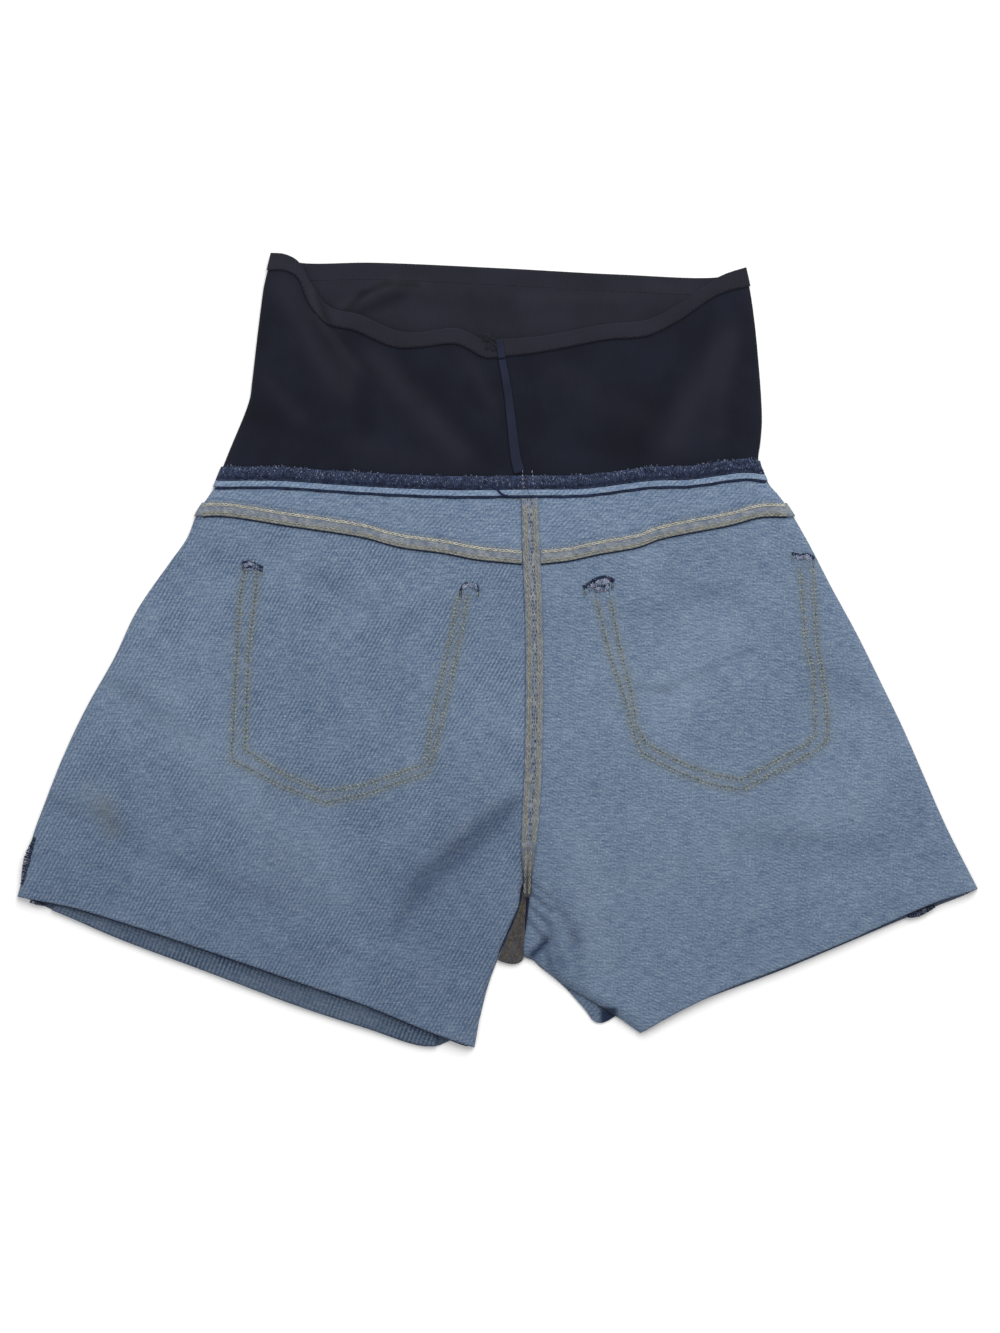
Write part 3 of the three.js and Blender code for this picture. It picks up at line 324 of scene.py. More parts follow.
def spacing(width, count, start, end):
    """Shares across a piece, closer together where an end turns down."""
    zone = np.array([0, 0.02, 0.07, 0.16, 0.28, 0.42, 0.6, 0.8]) * min(0.4, ROLL / width)
    a = zone if start else np.array([])
    b = 1 - zone[::-1] if end else np.array([])
    turned = min(0.4, ROLL / width)
    inner = np.linspace(turned if start else 0, 1 - turned if end else 1, count)
    return np.concatenate([a, inner, b])


FLAT = (False, False)


def patch(top, bottom, start, end, across, down, roll=FLAT):
    """Grid of points of a four-sided piece."""
    rows = []
    a, b, c, d = top.at(0), top.at(1), bottom.at(0), bottom.at(1)
    for v in np.linspace(0, 1, down + 1):
        first, last = start.at(v), end.at(v)
        u = spacing(np.linalg.norm(last - first), across, *roll)[:, None]
        corners = mix(mix(a, b, u), mix(c, d, u), v)
        rows.append(mix(top.at(u[:, 0]), bottom.at(u[:, 0]), v) + mix(first, last, u) - corners)
    return np.array(rows)


def normals(grid, edge=None):
    n = np.cross(np.gradient(grid, axis=1), np.gradient(grid, axis=0))
    n *= np.sign(n[..., 2:3]) + (n[..., 2:3] == 0)
    if edge is not None:
        n[edge.reshape(grid.shape[:2]) < 0.05, 2] = 0
    return n / np.maximum(1e-9, np.linalg.norm(n, axis=-1, keepdims=True))


low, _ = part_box("back_leg_left")
SHIFT = np.array([low[0] / MM - SIDE["left"][-1][0], 0, 0])
SHIFT[1] = low[1] / MM - INNER["left"][-1][1]


def new_object(name, verts, faces, kind, uv=None, marks=None):
    mesh = bpy.data.meshes.new(name)
    mesh.from_pydata([tuple(v) for v in (np.asarray(verts) + SHIFT) * MM], [], faces)
    mesh.shade_smooth()
    corner = np.empty(len(mesh.loops), np.int32)
    mesh.loops.foreach_get("vertex_index", corner)
    if uv is not None:
        layer = mesh.uv_layers.new(name="cloth")
        layer.data.foreach_set("uv", (np.asarray(uv)[corner] * MM).ravel())
    if marks is not None:
        layer = mesh.attributes.new("marks", "FLOAT_COLOR", "POINT")
        layer.data.foreach_set("color", np.asarray(marks, np.float32).ravel())
    obj = bpy.data.objects.new(name, mesh)
    bpy.context.scene.collection.objects.link(obj)
    mesh.materials.append(MAT[kind])
    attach(obj, "root")
    return obj


GRIDS = {}


def wall(name, upper, lower, kind, grain=0.0, marks=None):
    """Closed cloth wall between two grids. grain turns the cloth's own coordinates."""
    rows, cols = upper.shape[:2]
    n = rows * cols
    verts = np.concatenate([upper.reshape(-1, 3), lower.reshape(-1, 3)])
    at = np.arange(n).reshape(rows, cols)
    a, b, c, d = at[:-1, :-1], at[1:, :-1], at[1:, 1:], at[:-1, 1:]
    top = np.stack([a, b, c, d], -1).reshape(-1, 4)
    faces = [top, top[:, ::-1] + n]
    for rim in (at[0, ::-1], at[-1, :], at[:, 0], at[::-1, -1]):
        faces.append(np.stack([rim[:-1] + n, rim[1:] + n, rim[1:], rim[:-1]], -1))
    faces = np.concatenate(faces)
    e1, e2 = upper[0, -1] - upper[0, 0], upper[-1, 0] - upper[0, 0]
    if e2[0] * e1[1] - e2[1] * e1[0] < 0:
        faces = faces[:, ::-1]
    turn = math.radians(grain)
    x, y = verts[:, 0], verts[:, 1]
    uv = np.stack([x * math.cos(turn) + y * math.sin(turn), -x * math.sin(turn) + y * math.cos(turn)], -1)
    if marks is not None:
        marks = np.concatenate([marks, marks])
    return new_object(name, verts, faces.tolist(), kind, uv, marks)


def declare(node):
    """Hides the CAD node that the shell stands for."""
    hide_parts(node)


# ---- Materials ----


class Nodes:
    """Short way to write a material's nodes."""

    def __init__(self, name, roughness=0.9, sheen=0.2):
        self.mat = bpy.data.materials.new(name)
        self.mat.use_nodes = True
        self.tree = self.mat.node_tree
        self.shader = self.tree.nodes["Principled BSDF"]
        self.shader.inputs["Roughness"].default_value = roughness
        self.shader.inputs["Specular IOR Level"].default_value = 0.08
        self.shader.inputs["Sheen Weight"].default_value = sheen
        self.shader.inputs["Sheen Roughness"].default_value = 0.6

    def add(self, kind, inputs=(), out=0, **props):
        node = self.tree.nodes.new("ShaderNode" + kind)
        for key, value in props.items():
            setattr(node, key, value)
        for key, value in dict(inputs).items():
            if isinstance(value, bpy.types.NodeSocket):
                self.tree.links.new(value, node.inputs[key])
            else:
                node.inputs[key].default_value = value
        return node.outputs[out]

    def noise(self, vector, scale, detail=3.0, roughness=0.6):
        return self.add("TexNoise", {"Vector": vector, "Scale": scale, "Detail": detail, "Roughness": roughness})

    def waves(self, vector, period, distortion=0.0, detail_scale=1.0):
        """Bands along X of the vector, period in metres."""
        return self.add("TexWave", {"Vector": vector, "Scale": 0.31416 / period, "Distortion": distortion,
                                    "Detail": 2.0, "Detail Scale": detail_scale}, 1)

    def ramp(self, value, low, high, a=0.0, b=1.0):
        return self.add("MapRange", {"Value": value, "From Min": low, "From Max": high, "To Min": a, "To Max": b})

    def maths(self, operation, a, b):
        return self.add("Math", {0: a, 1: b}, operation=operation)

    def mixed(self, share, a, b, blend="MIX"):
        return self.add("Mix", {0: share, 6: a, 7: b}, 2, data_type="RGBA", blend_type=blend)

    def marks(self):
        """The marks painted on the cloth: a tint, painted shade, and pale marks that are partly wear and partly
        painted highlight.
        """
        return self.add("SeparateColor", {0: self.add("Attribute", attribute_name="marks")}).node.outputs

    def mapped(self, vector, scale=(1, 1, 1), turn=0.0):
        return self.add("Mapping", {"Vector": vector, "Scale": scale, "Rotation": (0, 0, math.radians(turn))})

    def finish(self, colour, height=None, strength=0.5, depth=0.0003):
        self.tree.links.new(colour, self.shader.inputs["Base Color"])
        if height is not None:
            bump = self.add("Bump", {"Height": height, "Strength": strength, "Distance": depth})
            self.tree.links.new(bump, self.shader.inputs["Normal"])
        return self.mat


def rgb(r, g, b):
    return tuple(((c / 255) / 12.92 if c < 10 else ((c / 255 + 0.055) / 1.055) ** 2.4) for c in (r, g, b)) + (1.0,)


def denim(name, twill_turn, twill=1.0, tone=0.8, period=0.0027, kept=False):
    """Wrong side of denim: pale weft, dark warp showing through as twill lines. kept is for CAD nodes."""
    m = Nodes(name, 0.95, 0.08)
    uv = m.add("TexCoord", {}, 3) if kept else m.add("UVMap", uv_map="cloth")
    cloud = m.noise(uv, 12, 4, 0.6)
    patchy = m.noise(uv, 62, 3, 0.6)
    fuzz = m.noise(uv, 850, 2, 0.7)
    slub = m.noise(m.mapped(uv, (120, 900, 1)), 1.0, 2, 0.6)
    warp = m.noise(m.mapped(uv, (900, 140, 1)), 1.0, 2, 0.6)
    lines = m.waves(m.mapped(uv, turn=twill_turn), period, 1.0, 4.0)
    shown = m.ramp(m.noise(uv, 30, 2), 0.36, 0.62, 0.4, 1.0)
    base = m.mixed(m.ramp(cloud, 0.36, 0.66), rgb(93, 114, 141), rgb(116, 137, 163))
    base = m.mixed(m.ramp(patchy, 0.34, 0.68, 0, 0.5), base, rgb(98, 120, 149))
    threads = m.mixed(m.ramp(slub, 0.36, 0.66), rgb(66, 86, 114), rgb(158, 171, 186))
    base = m.mixed(0.36, base, threads)
    base = m.mixed(m.ramp(warp, 0.5, 0.72, 0, 0.3), base, rgb(64, 84, 112))
    dark = m.maths("MULTIPLY", m.ramp(lines, 0.1, 0.85, 0.46 * twill, 0), shown)
    base = m.mixed(dark, base, rgb(48, 68, 98))
    base = m.mixed(m.ramp(fuzz, 0.54, 0.7, 0, 0.42), base, rgb(184, 192, 198))
    base = m.mixed(m.ramp(fuzz, 0.46, 0.32, 0, 0.42), base, rgb(58, 74, 100))
    tint, painted_shade, wear_and_painted_highlight = m.marks()[:3]
    base = m.mixed(tint, base, rgb(106, 110, 106))
    # Painted shade from the marks
    base = m.mixed(painted_shade, base, rgb(34, 48, 74))
    # Pale marks: partly wear, partly painted highlight
    base = m.mixed(wear_and_painted_highlight, base, rgb(176, 190, 202))
    # tone darkens the whole cloth; for the front, kept, cuff and inseam copies it is painted shade
    base = m.mixed(1.0, base, (tone, tone, tone, 1), "MULTIPLY")
    fine = m.maths("ADD", slub, m.maths("MULTIPLY", fuzz, 0.8))
    return m.finish(base, m.maths("ADD", m.maths("MULTIPLY", lines, 0.8 * twill), fine))


def jersey(name, dark, light, turn=0.0):
    m = Nodes(name, 0.92, 0.04)
    uv = m.add("UVMap", uv_map="cloth")
    rib = m.waves(m.mapped(uv, turn=turn), 0.0012, 0.6, 2.0)
    lint = m.noise(uv, 1100, 2, 0.7)
    cloud = m.noise(uv, 26, 3, 0.55)
    base = m.mixed(m.ramp(cloud, 0.35, 0.7), rgb(*dark), rgb(*light))
    base = m.mixed(m.ramp(rib, 0.2, 0.9, 0.3, 0), base, rgb(9, 10, 15))
    _, painted_shade, wear_and_painted_highlight = m.marks()[:3]
    # Painted shade from the marks
    base = m.mixed(painted_shade, base, rgb(7, 8, 13))
    # Pale marks: partly wear, partly painted highlight
    base = m.mixed(wear_and_painted_highlight, base, rgb(50, 50, 58))
    base = m.mixed(m.ramp(lint, 0.66, 0.8, 0, 0.12), base, rgb(80, 82, 92))
    return m.finish(base, m.maths("ADD", m.maths("MULTIPLY", rib, 0.8), lint), 0.35, 0.00025)


def band(name, colours, streak=(400, 1500, 1)):
    """Cloth of a sewn band: mottled between three colours, with its own thread marks."""
    m = Nodes(name, 0.94, 0.05)
    uv = m.add("UVMap", uv_map="cloth")
    cloud = m.noise(uv, 160, 3, 0.65)
    fine = m.noise(m.mapped(uv, streak), 1.0, 2, 0.6)
    base = m.mixed(m.ramp(cloud, 0.38, 0.64), rgb(*colours[0]), rgb(*colours[1]))
    base = m.mixed(m.ramp(fine, 0.42, 0.66, 0, 0.8), base, rgb(*colours[2]))
    # Painted shade from the marks' second channel
    base = m.mixed(m.marks()[1], base, rgb(34, 33, 38))
    return m.finish(base, m.maths("ADD", cloud, fine), 0.6, 0.0005)


def thread(name, dark, light, roughness=0.7):
    m = Nodes(name, roughness, 0.05)
    where = m.add("TexCoord", {}, 3)
    tone = m.noise(where, 420, 2, 0.7)
    base = m.mixed(m.ramp(tone, 0.36, 0.64), rgb(*dark), rgb(*light))
    return m.finish(base, m.noise(where, 3000, 1), 0.3, 0.0001)


# Each thread's dark and light colour
THREAD_COLOURS = {
    "gold": ((112, 112, 102), (151, 150, 136)),
    # Darker gold for the crotch seam: painted shade between the legs
    "dim": ((62, 58, 50), (104, 94, 72)),
    "tan": ((104, 114, 114), (150, 156, 146)),
    "pit": ((48, 60, 80), (76, 88, 104)),
    "cream": ((144, 144, 134), (186, 184, 172)),
    "navy": ((14, 21, 42), (30, 42, 72)),
    "serge": ((22, 29, 50), (52, 64, 92)),
    "lint": ((88, 102, 131), (152, 161, 181)),
    "rust": ((84, 58, 56), (128, 96, 86)),
    "coal": ((20, 21, 28), (36, 37, 47)),
}
MAT = {
    "leg_left": denim("denim_left", 29, 1.4, 0.835, 0.0023),
    "leg_right": denim("denim_right", -64, 0.6, 0.82, 0.0021),
    "yoke": denim("denim_yoke", 44, 0.9, 0.875, 0.0024),
    "strip": denim("denim_strip", 46, 0.9, 1.0, 0.0024),
    # front, kept and cuff are the same denim made darker: painted shade for cloth of the lower layer, between the
    # layers and inside the leg openings
    "front": denim("denim_front", 40, 0.8, 0.52),
    "kept": denim("denim_kept", 40, 0.8, 0.42, kept=True),
    "cuff": denim("denim_cuff", 2, 1.9, 0.6, 0.0026),
    "belly": jersey("jersey_dark", (19, 21, 31), (25, 28, 41)),
    "inner": jersey("jersey_charcoal", (32, 33, 41), (37, 38, 48), 4),
    "seam_navy": jersey("jersey_navy", (27, 31, 46), (36, 41, 60)),
    "felled": band("felled_cloth", ((99, 108, 122), (138, 141, 143), (78, 89, 109))),
    # Darker felled cloth for the crotch seam: painted shade between the legs
    "crotch": band("felled_dark", ((50, 52, 61), (72, 73, 79), (86, 82, 79))),
    "serged": band("serged_cloth", ((21, 27, 46), (40, 50, 75), (68, 79, 107)), (500, 500, 1)),
    # The inseam allowance's denim made darker: painted shade between the layers
    "inseam": denim("denim_inseam", 40, 0.9, 0.7),
}
MAT.update({name: thread(f"thread_{name}", *colours) for name, colours in THREAD_COLOURS.items()})
# The slot each material belongs to
SLOT = dict.fromkeys(("leg_left", "leg_right", "yoke", "strip", "front", "cuff", "inseam"), "denim")
SLOT.update(belly="jersey", inner="jersey_face", seam_navy="jersey", serged="serged")
SLOT.update(dict.fromkeys(("felled", "crotch", "gold", "dim", "tan", "pit", "cream", "rust"), "felled"))
SLOT.update(dict.fromkeys(("navy", "serge", "lint", "coal"), "serged"))

# ---- Cloth ----


def spot(p, x, y, wide, tall):
    return np.exp(-(((p[:, 0] - x) / wide) ** 2) - ((p[:, 1] - y) / tall) ** 2)


def stains_and_painted_light(p):
    """Marks on the cloth: red a grey-brown stain tint, green painted shade, blue pale fold ridges that are partly wear
    and partly painted highlight.
    """
    m = np.zeros((len(p), 4))
    on_belly = p[:, 1] > 99
    m[:, 0] = 0.42 * spot(p, -251, -102, 7, 8) + 0.34 * spot(p, -246, -114, 6, 7) + 0.12 * spot(p, -262, -90, 12, 14)
    for rows in POCKET_LINES.values():
        for row in rows:
            m[:, 0] = np.maximum(m[:, 0], 0.34 * np.exp(-((distance(row, p) / 3.4) ** 2)))
    low, high = ([c for c in CREASES + FOLDS if c[4] * sign > 0] for sign in (-1, 1))
    # Painted shade: darker in the troughs of folds and creases
    dark = np.clip(-folds(low, p), 0, 1) * np.where(on_belly, 0.4, 0.42)
    dark += 0.5 * spot(p, 227, -108.6, 1.6, 1.2)
    # Painted shade in the hollow of the right leg's fold by the crotch
    dark = np.maximum(dark, 0.92 * folds([(23, -194.5, 31, -187, 1, 2.2)], p))
    # Painted shadow under each yoke seam
    for line in YOKE_LINES.values():
        shadow = 1 - smoothstep(0, 1, np.abs(distance(line, p) - 6) / 1.4)
        dark = np.maximum(dark, 0.25 * shadow * ~on_belly)
    # Painted shade: the legs darker towards the hems
    dark += np.where(on_belly, 0, LEG_SHADE * smoothstep(-40, -190, p[:, 1]) * (1 - 0.35 * (p[:, 0] > 40)))
    # Painted shade at the end of the right inseam allowance, between the layers
    end = smoothstep(65, 67.5, p[:, 0]) * smoothstep(78, 76, p[:, 0]) * smoothstep(-227, -229.5, p[:, 1])
    m[:, 1] = np.maximum(dark, end)
    # Pale on fold ridges: partly wear, partly painted highlight
    m[:, 2] = np.clip(folds(high, p), 0, 1) * np.where(on_belly, 0.22, 0.1)
    m[:, 3] = 1
    return m


def on_seat(name, material, thickness, side, out, lines, across, down, roll=(True, True), grain=0.0):
    """A shell of the upper layer. out is its underside's height over the layer's top face; across and down say how
    finely it is divided, and roll which of its sides turn down."""
    grid = patch(*lines, across, down, roll)
    flat = grid.reshape(-1, 2)
    z, edge = (both_top(flat), None) if side == "both" else seat_top(side, flat)
    upper = np.concatenate([grid, z.reshape(grid.shape[:2])[..., None]], -1)
    n = normals(upper, edge)
    marks = stains_and_painted_light(flat)
    # Painted shade: the centre back fell darker towards the crotch, where it runs down between the legs
    if "fell" in name:
        marks[:, 1] = 0.8 * smoothstep(115, 152, -flat[:, 1])
    GRIDS[name] = upper
    wall(f"{name}_cloth", upper + n * (out + thickness), upper + n * out, material, grain, marks)


def laid(name, material, thickness, base, lines, across, down, lift=None, grain=0.0):
    """A shell of the lower layer, or one that lies flat at the height base."""
    grid = patch(*lines, across, down)
    flat = grid.reshape(-1, 2)
    z = (lift(flat) if lift else np.zeros(len(flat))).reshape(grid.shape[:2])
    lower = np.concatenate([grid, (z + base)[..., None]], -1)
    marks = stains_and_painted_light(flat)
    if name == "belly_front":
        # Painted shade in the troughs of the front's folds and painted highlight on their ridges
        marks[:, 1] = np.clip(-folds([f for f in FRONT_FOLDS if f[4] < 0], flat), 0, 1) * 0.8
        marks[:, 2] = np.clip(folds([f for f in FRONT_FOLDS if f[4] > 0], flat), 0, 1) * 0.3
    GRIDS[name] = lower
    wall(f"{name}_cloth", lower + (0, 0, thickness), lower, material, grain, marks)


def ends(a, b):
    """Straight lines between the starts and between the ends of two lines."""
    return Line([a.at(0), b.at(0)]), Line([a.at(1), b.at(1)])


def strip(start, end):
    """The four sides of a piece that runs down between two lines."""
    return (*ends(start, end), start, end)


def shelf(top, bottom):
    """The four sides of a piece that runs across between two lines."""
    return (top, bottom, *ends(top, bottom))


def band_edges(stations):
    mid = Line(stations)
    u = np.linspace(0, 1, 60)
    share = np.array([mid.s[np.argmin(np.linalg.norm(mid.p - s[:2], axis=1))] for s in np.array(stations)])
    half = np.interp(u, share, [s[2] / 2 for s in stations])[:, None]
    p, n = mid.at(u), mid.normal(u)
    return Line(p - n * half, False), Line(p + n * half, False)


def moved(points, dx, dy):
    return [(p[0] + dx, p[1] + dy) for p in points]


def from_side(points, side_line):
    """A line through the points that starts on the side's own line."""
    return Line([side_line.at(side_line.share_y(points[0][1]))] + points[1:])


for side, turn in (("left", -1), ("right", 1)):
    outer, belly_side = Line(SIDE[side]), Line(BELLY_SIDE[side])
    hem, front_hem, front_inner = Line(HEM[side]), Line(FRONT_HEM[side]), Line(FRONT_INNER[side])

    def run(points, dy, edge, x=None):
        """The points from the side to the centre gap, or to x there, moved along y."""
        end = (points[-1][0] + turn * GAP / 2 if x is None else x, points[-1][1])
        points = moved(points[:-1] + [end], 0, dy)
        return from_side(points, edge) if edge else Line(points)

    def side_run(line, top, bottom):
        return line.beside(0, line.share_y(top.at(0)[1]), line.share_y(bottom.at(0)[1]))

    def between(upper, lower, edge):
        return upper, lower, side_run(edge, upper, lower), Line([upper.at(1), lower.at(1)])

    # Back leg
    top = run(YOKE[side], -GAP / 2, outer)
    inner = Line([top.at(1)] + moved(CENTRE_BACK[1:-1], turn * GAP / 2, 0) + INNER[side])
    lines = top, hem, side_run(outer, top, hem), inner
    on_seat(f"leg_back_{side}", f"leg_{side}", DENIM, side, -DENIM, lines, 150, 190)

    # Yoke
    lines = between(run(WAIST[side], -GAP / 2, outer), run(YOKE[side], GAP / 2, outer), outer)
    on_seat(f"yoke_{side}", "yoke", DENIM, side, -DENIM, lines, 118, 22)

    # Belly panel and its turned hem
    top, bottom = run(BELLY_TOP[side], 0, None), run(WAIST[side], GAP / 2, belly_side)
    centre = Line(moved(BELLY_CENTRE[:-1], turn * GAP / 2, 0) + [bottom.at(1)])
    lines = top, bottom, side_run(belly_side, top, bottom), centre
    on_seat(f"belly_back_{side}", "belly", JERSEY, side, -JERSEY, lines, 100, 80, grain=4)
    lines = between(top, run(BELLY_HEM[side], 0, belly_side), belly_side)
    on_seat(f"belly_hem_{side}", "inner", TURNED, side, GAP, lines, 110, 8)

    # Waist seam: light denim allowance and the overlocked band above it
    for label, material, low_y, high_y, x_low, x_high in WAIST_SEAM:
        lines = between(run(WAIST[side], high_y, belly_side, x_high + turn * GAP / 2),
                        run(WAIST[side], low_y, belly_side, x_low + turn * GAP / 2), belly_side)
        on_seat(f"waist_{label}_{side}", material, SEWN, side, GAP, lines, 110, 6)

    # Felled yoke seam
    fell_end = CENTRE_X + turn * (FELL_WIDTH / 2 + GAP)
    lines = between(run(YOKE[side], FELL_HIGH, outer, fell_end), run(YOKE[side], FELL_LOW, outer, fell_end), outer)
    on_seat(f"yoke_fell_{side}", "felled", SEWN, side, GAP, lines, 130, 6)

    # Front leg, on the lower layer: from where the scoop meets the side to the centre and down the inseam
    scoop_edge, inner_side = Line(SCOOP).beside(-SCOOP_CLEAR), outer.beside(-turn * SIDE_CLEAR)
    half_scoop = scoop_edge.at(np.linspace(0, 0.5, 200) if turn < 0 else np.linspace(0.5, 1, 200))
    at_side = half_scoop[np.argmin(distance(inner_side.p, half_scoop))]
    a, b = scoop_edge.share_x(at_side[0]), scoop_edge.share_x(20 + turn * CENTRE_CLEAR)
    leg_top = scoop_edge.beside(0, a, b)
    shares = np.linspace(0, 0.3, 200)
    start = shares[np.argmin(distance(leg_top.p, inner_side.at(shares)))]
    leg_side = inner_side.beside(0, start, 1)
    inseam = front_inner.beside(turn * INSEAM_CLEAR)
    inner = Line([leg_top.at(1)] + moved(CENTRE_FRONT[1:-2], turn * CENTRE_CLEAR, 0) + FRONT_CROTCH[side]
                 + list(inseam.at(np.linspace(0, 1, 5))))
    leg_hem = Line([leg_side.at(1)] + FRONT_HEM[side][1:-1] + [inseam.at(1)])
    laid(f"leg_front_{side}", "front", DENIM, 0, (leg_top, leg_hem, leg_side, inner), 60, 60)

    # Cuffs turned up inside the leg opening
    back_cuff, front_cuff = ([line.beside(-turn * depth, *shares[side]) for depth in CUFF_EDGES]
                             for line, shares in ((hem, BACK_CUFF_SHARES), (front_hem, FRONT_CUFF_SHARES)))
    slope = math.degrees(math.atan2(*(front_hem.at(0.8) - front_hem.at(0.2))[::-1]))

    def cuff_swell(p, fold=front_cuff[1].p):
        return 0.5 * np.exp(-((distance(fold, p) / 5) ** 2)) + 0.1 * loose(p)

    on_seat(f"cuff_back_{side}", "cuff", DENIM, side, -2 * DENIM - GAP, shelf(*back_cuff), 100, 14, FLAT, slope)

    # Overlocked allowances of the side seam and the inseam, between the layers
    laid(f"side_allowance_{side}", "serged", DENIM, 0,
         strip(outer.beside(0, start + 0.03, 1), outer.beside(-turn * 8.5, start + 0.03, 1)), 8, 120)
    near = Line(INSEAM_END[side])
    far = Line(list(front_inner.beside(turn * 8.4).p) + INSEAM_TIP[side], False)
    foot = Line([near.at(1)] + INSEAM_FOOT[side] + [far.at(1)])
    laid(f"inseam_allowance_{side}", "inseam", DENIM - 0.1, 0, (ends(near, far)[0], foot, near, far), 12, 60)
    laid(f"cuff_front_{side}", "cuff", DENIM, DENIM + GAP, shelf(*front_cuff), 110, 16, cuff_swell, slope)

# Bands along the centre
BELLY_SEAM_TOP = [(1.2, 199.2, 4.4), (2.2, 193, 4.5), (3.1, 186.8, 4.6)]
for name, material, thickness, out, stations, across, down, grain in (
    ("centre_back_fell", "felled", SEWN, GAP, CENTRE_FELL, 9, 170, 90),
    ("belly_seam", "seam_navy", 0.6, GAP, BELLY_SEAM, 7, 50, 0),
    ("belly_seam_top", "seam_navy", 0.5, 2 * GAP + TURNED, BELLY_SEAM_TOP, 7, 8, 0),
):
    on_seat(name, material, thickness, "both", out, strip(*band_edges(stations)), across, down, FLAT, grain)
near, far = Line(CROTCH["left"]), Line(CROTCH["right"])
crotch_foot = Line([CROTCH["left"][-1], (4.6, -200), (11, -200.9), (15.2, -199.6), CROTCH["right"][-1]])
laid("crotch_fell", "crotch", SEWN, DENIM + GAP, (ends(near, far)[0], crotch_foot, near, far), 12, 36, grain=75)
fell_edges = [Line(moved(CENTRE_FRONT, dx, 0)) for dx in (-5, 5)]
laid("centre_front_fell", "felled", DENIM, 0, strip(*fell_edges), 9, 90, grain=90)

# Front of the belly panel, whose inside shows over the back one
scoop, front_top = Line(SCOOP), Line(FRONT_TOP)
foot = scoop.beside(SCOOP_CLEAR, 0.004, 0.996)


def front_height(p):
    return front_lift(p) + np.maximum(0, folds(FRONT_FOLDS, p)) + 0.12 * np.maximum(0, loose(p))


front_sides = [Line([FRONT_TOP[corner]] + BELLY_SIDE[side][1:-1] + [foot.at(share)])
               for side, corner, share in (("left", 0, 0), ("right", -1, 1))]
laid("belly_front", "inner", JERSEY, 0, (front_top, foot, *front_sides), 170, 124, front_height)
laid("belly_hem_front", "belly", JERSEY, 0,
     shelf(*(front_top.beside(-d, 0.012, 0.988) for d in (0.6, FRONT_HEM_TURN))), 120, 6)
laid("front_scoop_allowance", "serged", SEWN, 0, shelf(*(scoop.beside(d) for d in (4, -4))), 120, 6)

# Each sewn strip stands for the CAD node of its own name, or for the one given here. The large pieces' nodes are
# hidden further down, and the top of the belly seam stands for nothing
STANDS_FOR = {"belly_seam": "belly_centre_seam", "belly_hem_left": "belly_hem_back_left",
              "belly_hem_right": "belly_hem_back_right"}
NOT_STRIPS = ("leg_back", "yoke_left", "yoke_right", "belly_back", "leg_front", "belly_front", "belly_seam_top")
for name in GRIDS:
    if not name.startswith(NOT_STRIPS):
        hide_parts(STANDS_FOR.get(name, name))

# The large pieces' CAD nodes are hidden. The strips sewn to each half's back leg, belly and front are listed but not
# used;
# strips of both halves go with the left half
CENTRE_STRIPS = {
    "left": (["centre_back_fell"], ["belly_seam", "belly_seam_top"], ["centre_front_fell", "crotch_fell"]),
    "right": ([], [], []),
}
for side, (on_leg, on_belly, on_front) in CENTRE_STRIPS.items():

    declare(f"back_leg_{side}")
    declare(f"yoke_{side}")
    declare(f"belly_back_{side}")
    declare(f"front_leg_{side}")
declare("belly_front")

# The back pockets lie unseen between the layers and stay as the part has them
for name in ("back_pocket_left", "back_pocket_right"):
    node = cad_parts[name]
    node.data.materials.clear()
    node.data.materials.append(MAT["kept"])

# ---- Thread ----


class Threads:
    """Collects short lengths of thread into one mesh."""

    def __init__(self):
        self.verts, self.faces, self.count = [], [], 0

    def add(self, points, radius, sides=5):
        p = np.asarray(points, float)
        t = np.gradient(p, axis=0)
        t /= np.maximum(1e-9, np.linalg.norm(t, axis=1, keepdims=True))
        side = np.cross(t, (0, 0, 1.0))
        side /= np.maximum(1e-6, np.linalg.norm(side, axis=1, keepdims=True))
        up = np.cross(side, t)
        a = np.linspace(0, 2 * math.pi, sides, endpoint=False)
        r = np.broadcast_to(np.asarray(radius, float), (len(p),))[:, None, None]
        ring = p[:, None] + r * (np.cos(a)[None, :, None] * side[:, None] + np.sin(a)[None, :, None] * up[:, None])
        base, n = self.count, len(p)
        self.verts.append(ring.reshape(-1, 3))
        for i in range(n - 1):
            for k in range(sides):
                q = (k + 1) % sides
                self.faces.append((base + i * sides + k, base + (i + 1) * sides + k,
                                   base + (i + 1) * sides + q, base + i * sides + q))
        self.faces.append(tuple(base + k for k in range(sides)))
        self.faces.append(tuple(base + (n - 1) * sides + k for k in reversed(range(sides))))
        self.count += n * sides

    def build(self, name, material):
        return new_object(name, np.concatenate(self.verts), self.faces, material)


THREADS = {name: Threads() for name in THREAD_COLOURS}
gold, dim, tan, pit, cream, navy, serge, lint, rust, coal = THREADS.values()
ON_STRIP = GAP + SEWN
# How a frayed end rises from its root, over its middle, to its tip
FRAY_RISE = np.array([(0, 0, 0.1), (0, 0, 0.3), (0, 0, -0.2)])


def jitter(reach, size=None):
    return rng.uniform(-reach, reach, size)


def level(p, z):
    """The points at one height, or each at its own."""
    return np.concatenate([p, np.broadcast_to(z, len(p))[:, None]], -1)


def shifted(line, dy):
    return Line(line.p + (0, dy), False)


def height_at(p, side, out):
    """The points, laid over the upper layer at a distance."""
    return level(p, (both_top(p) if side == "both" else seat_top(side, p)[0]) + out)


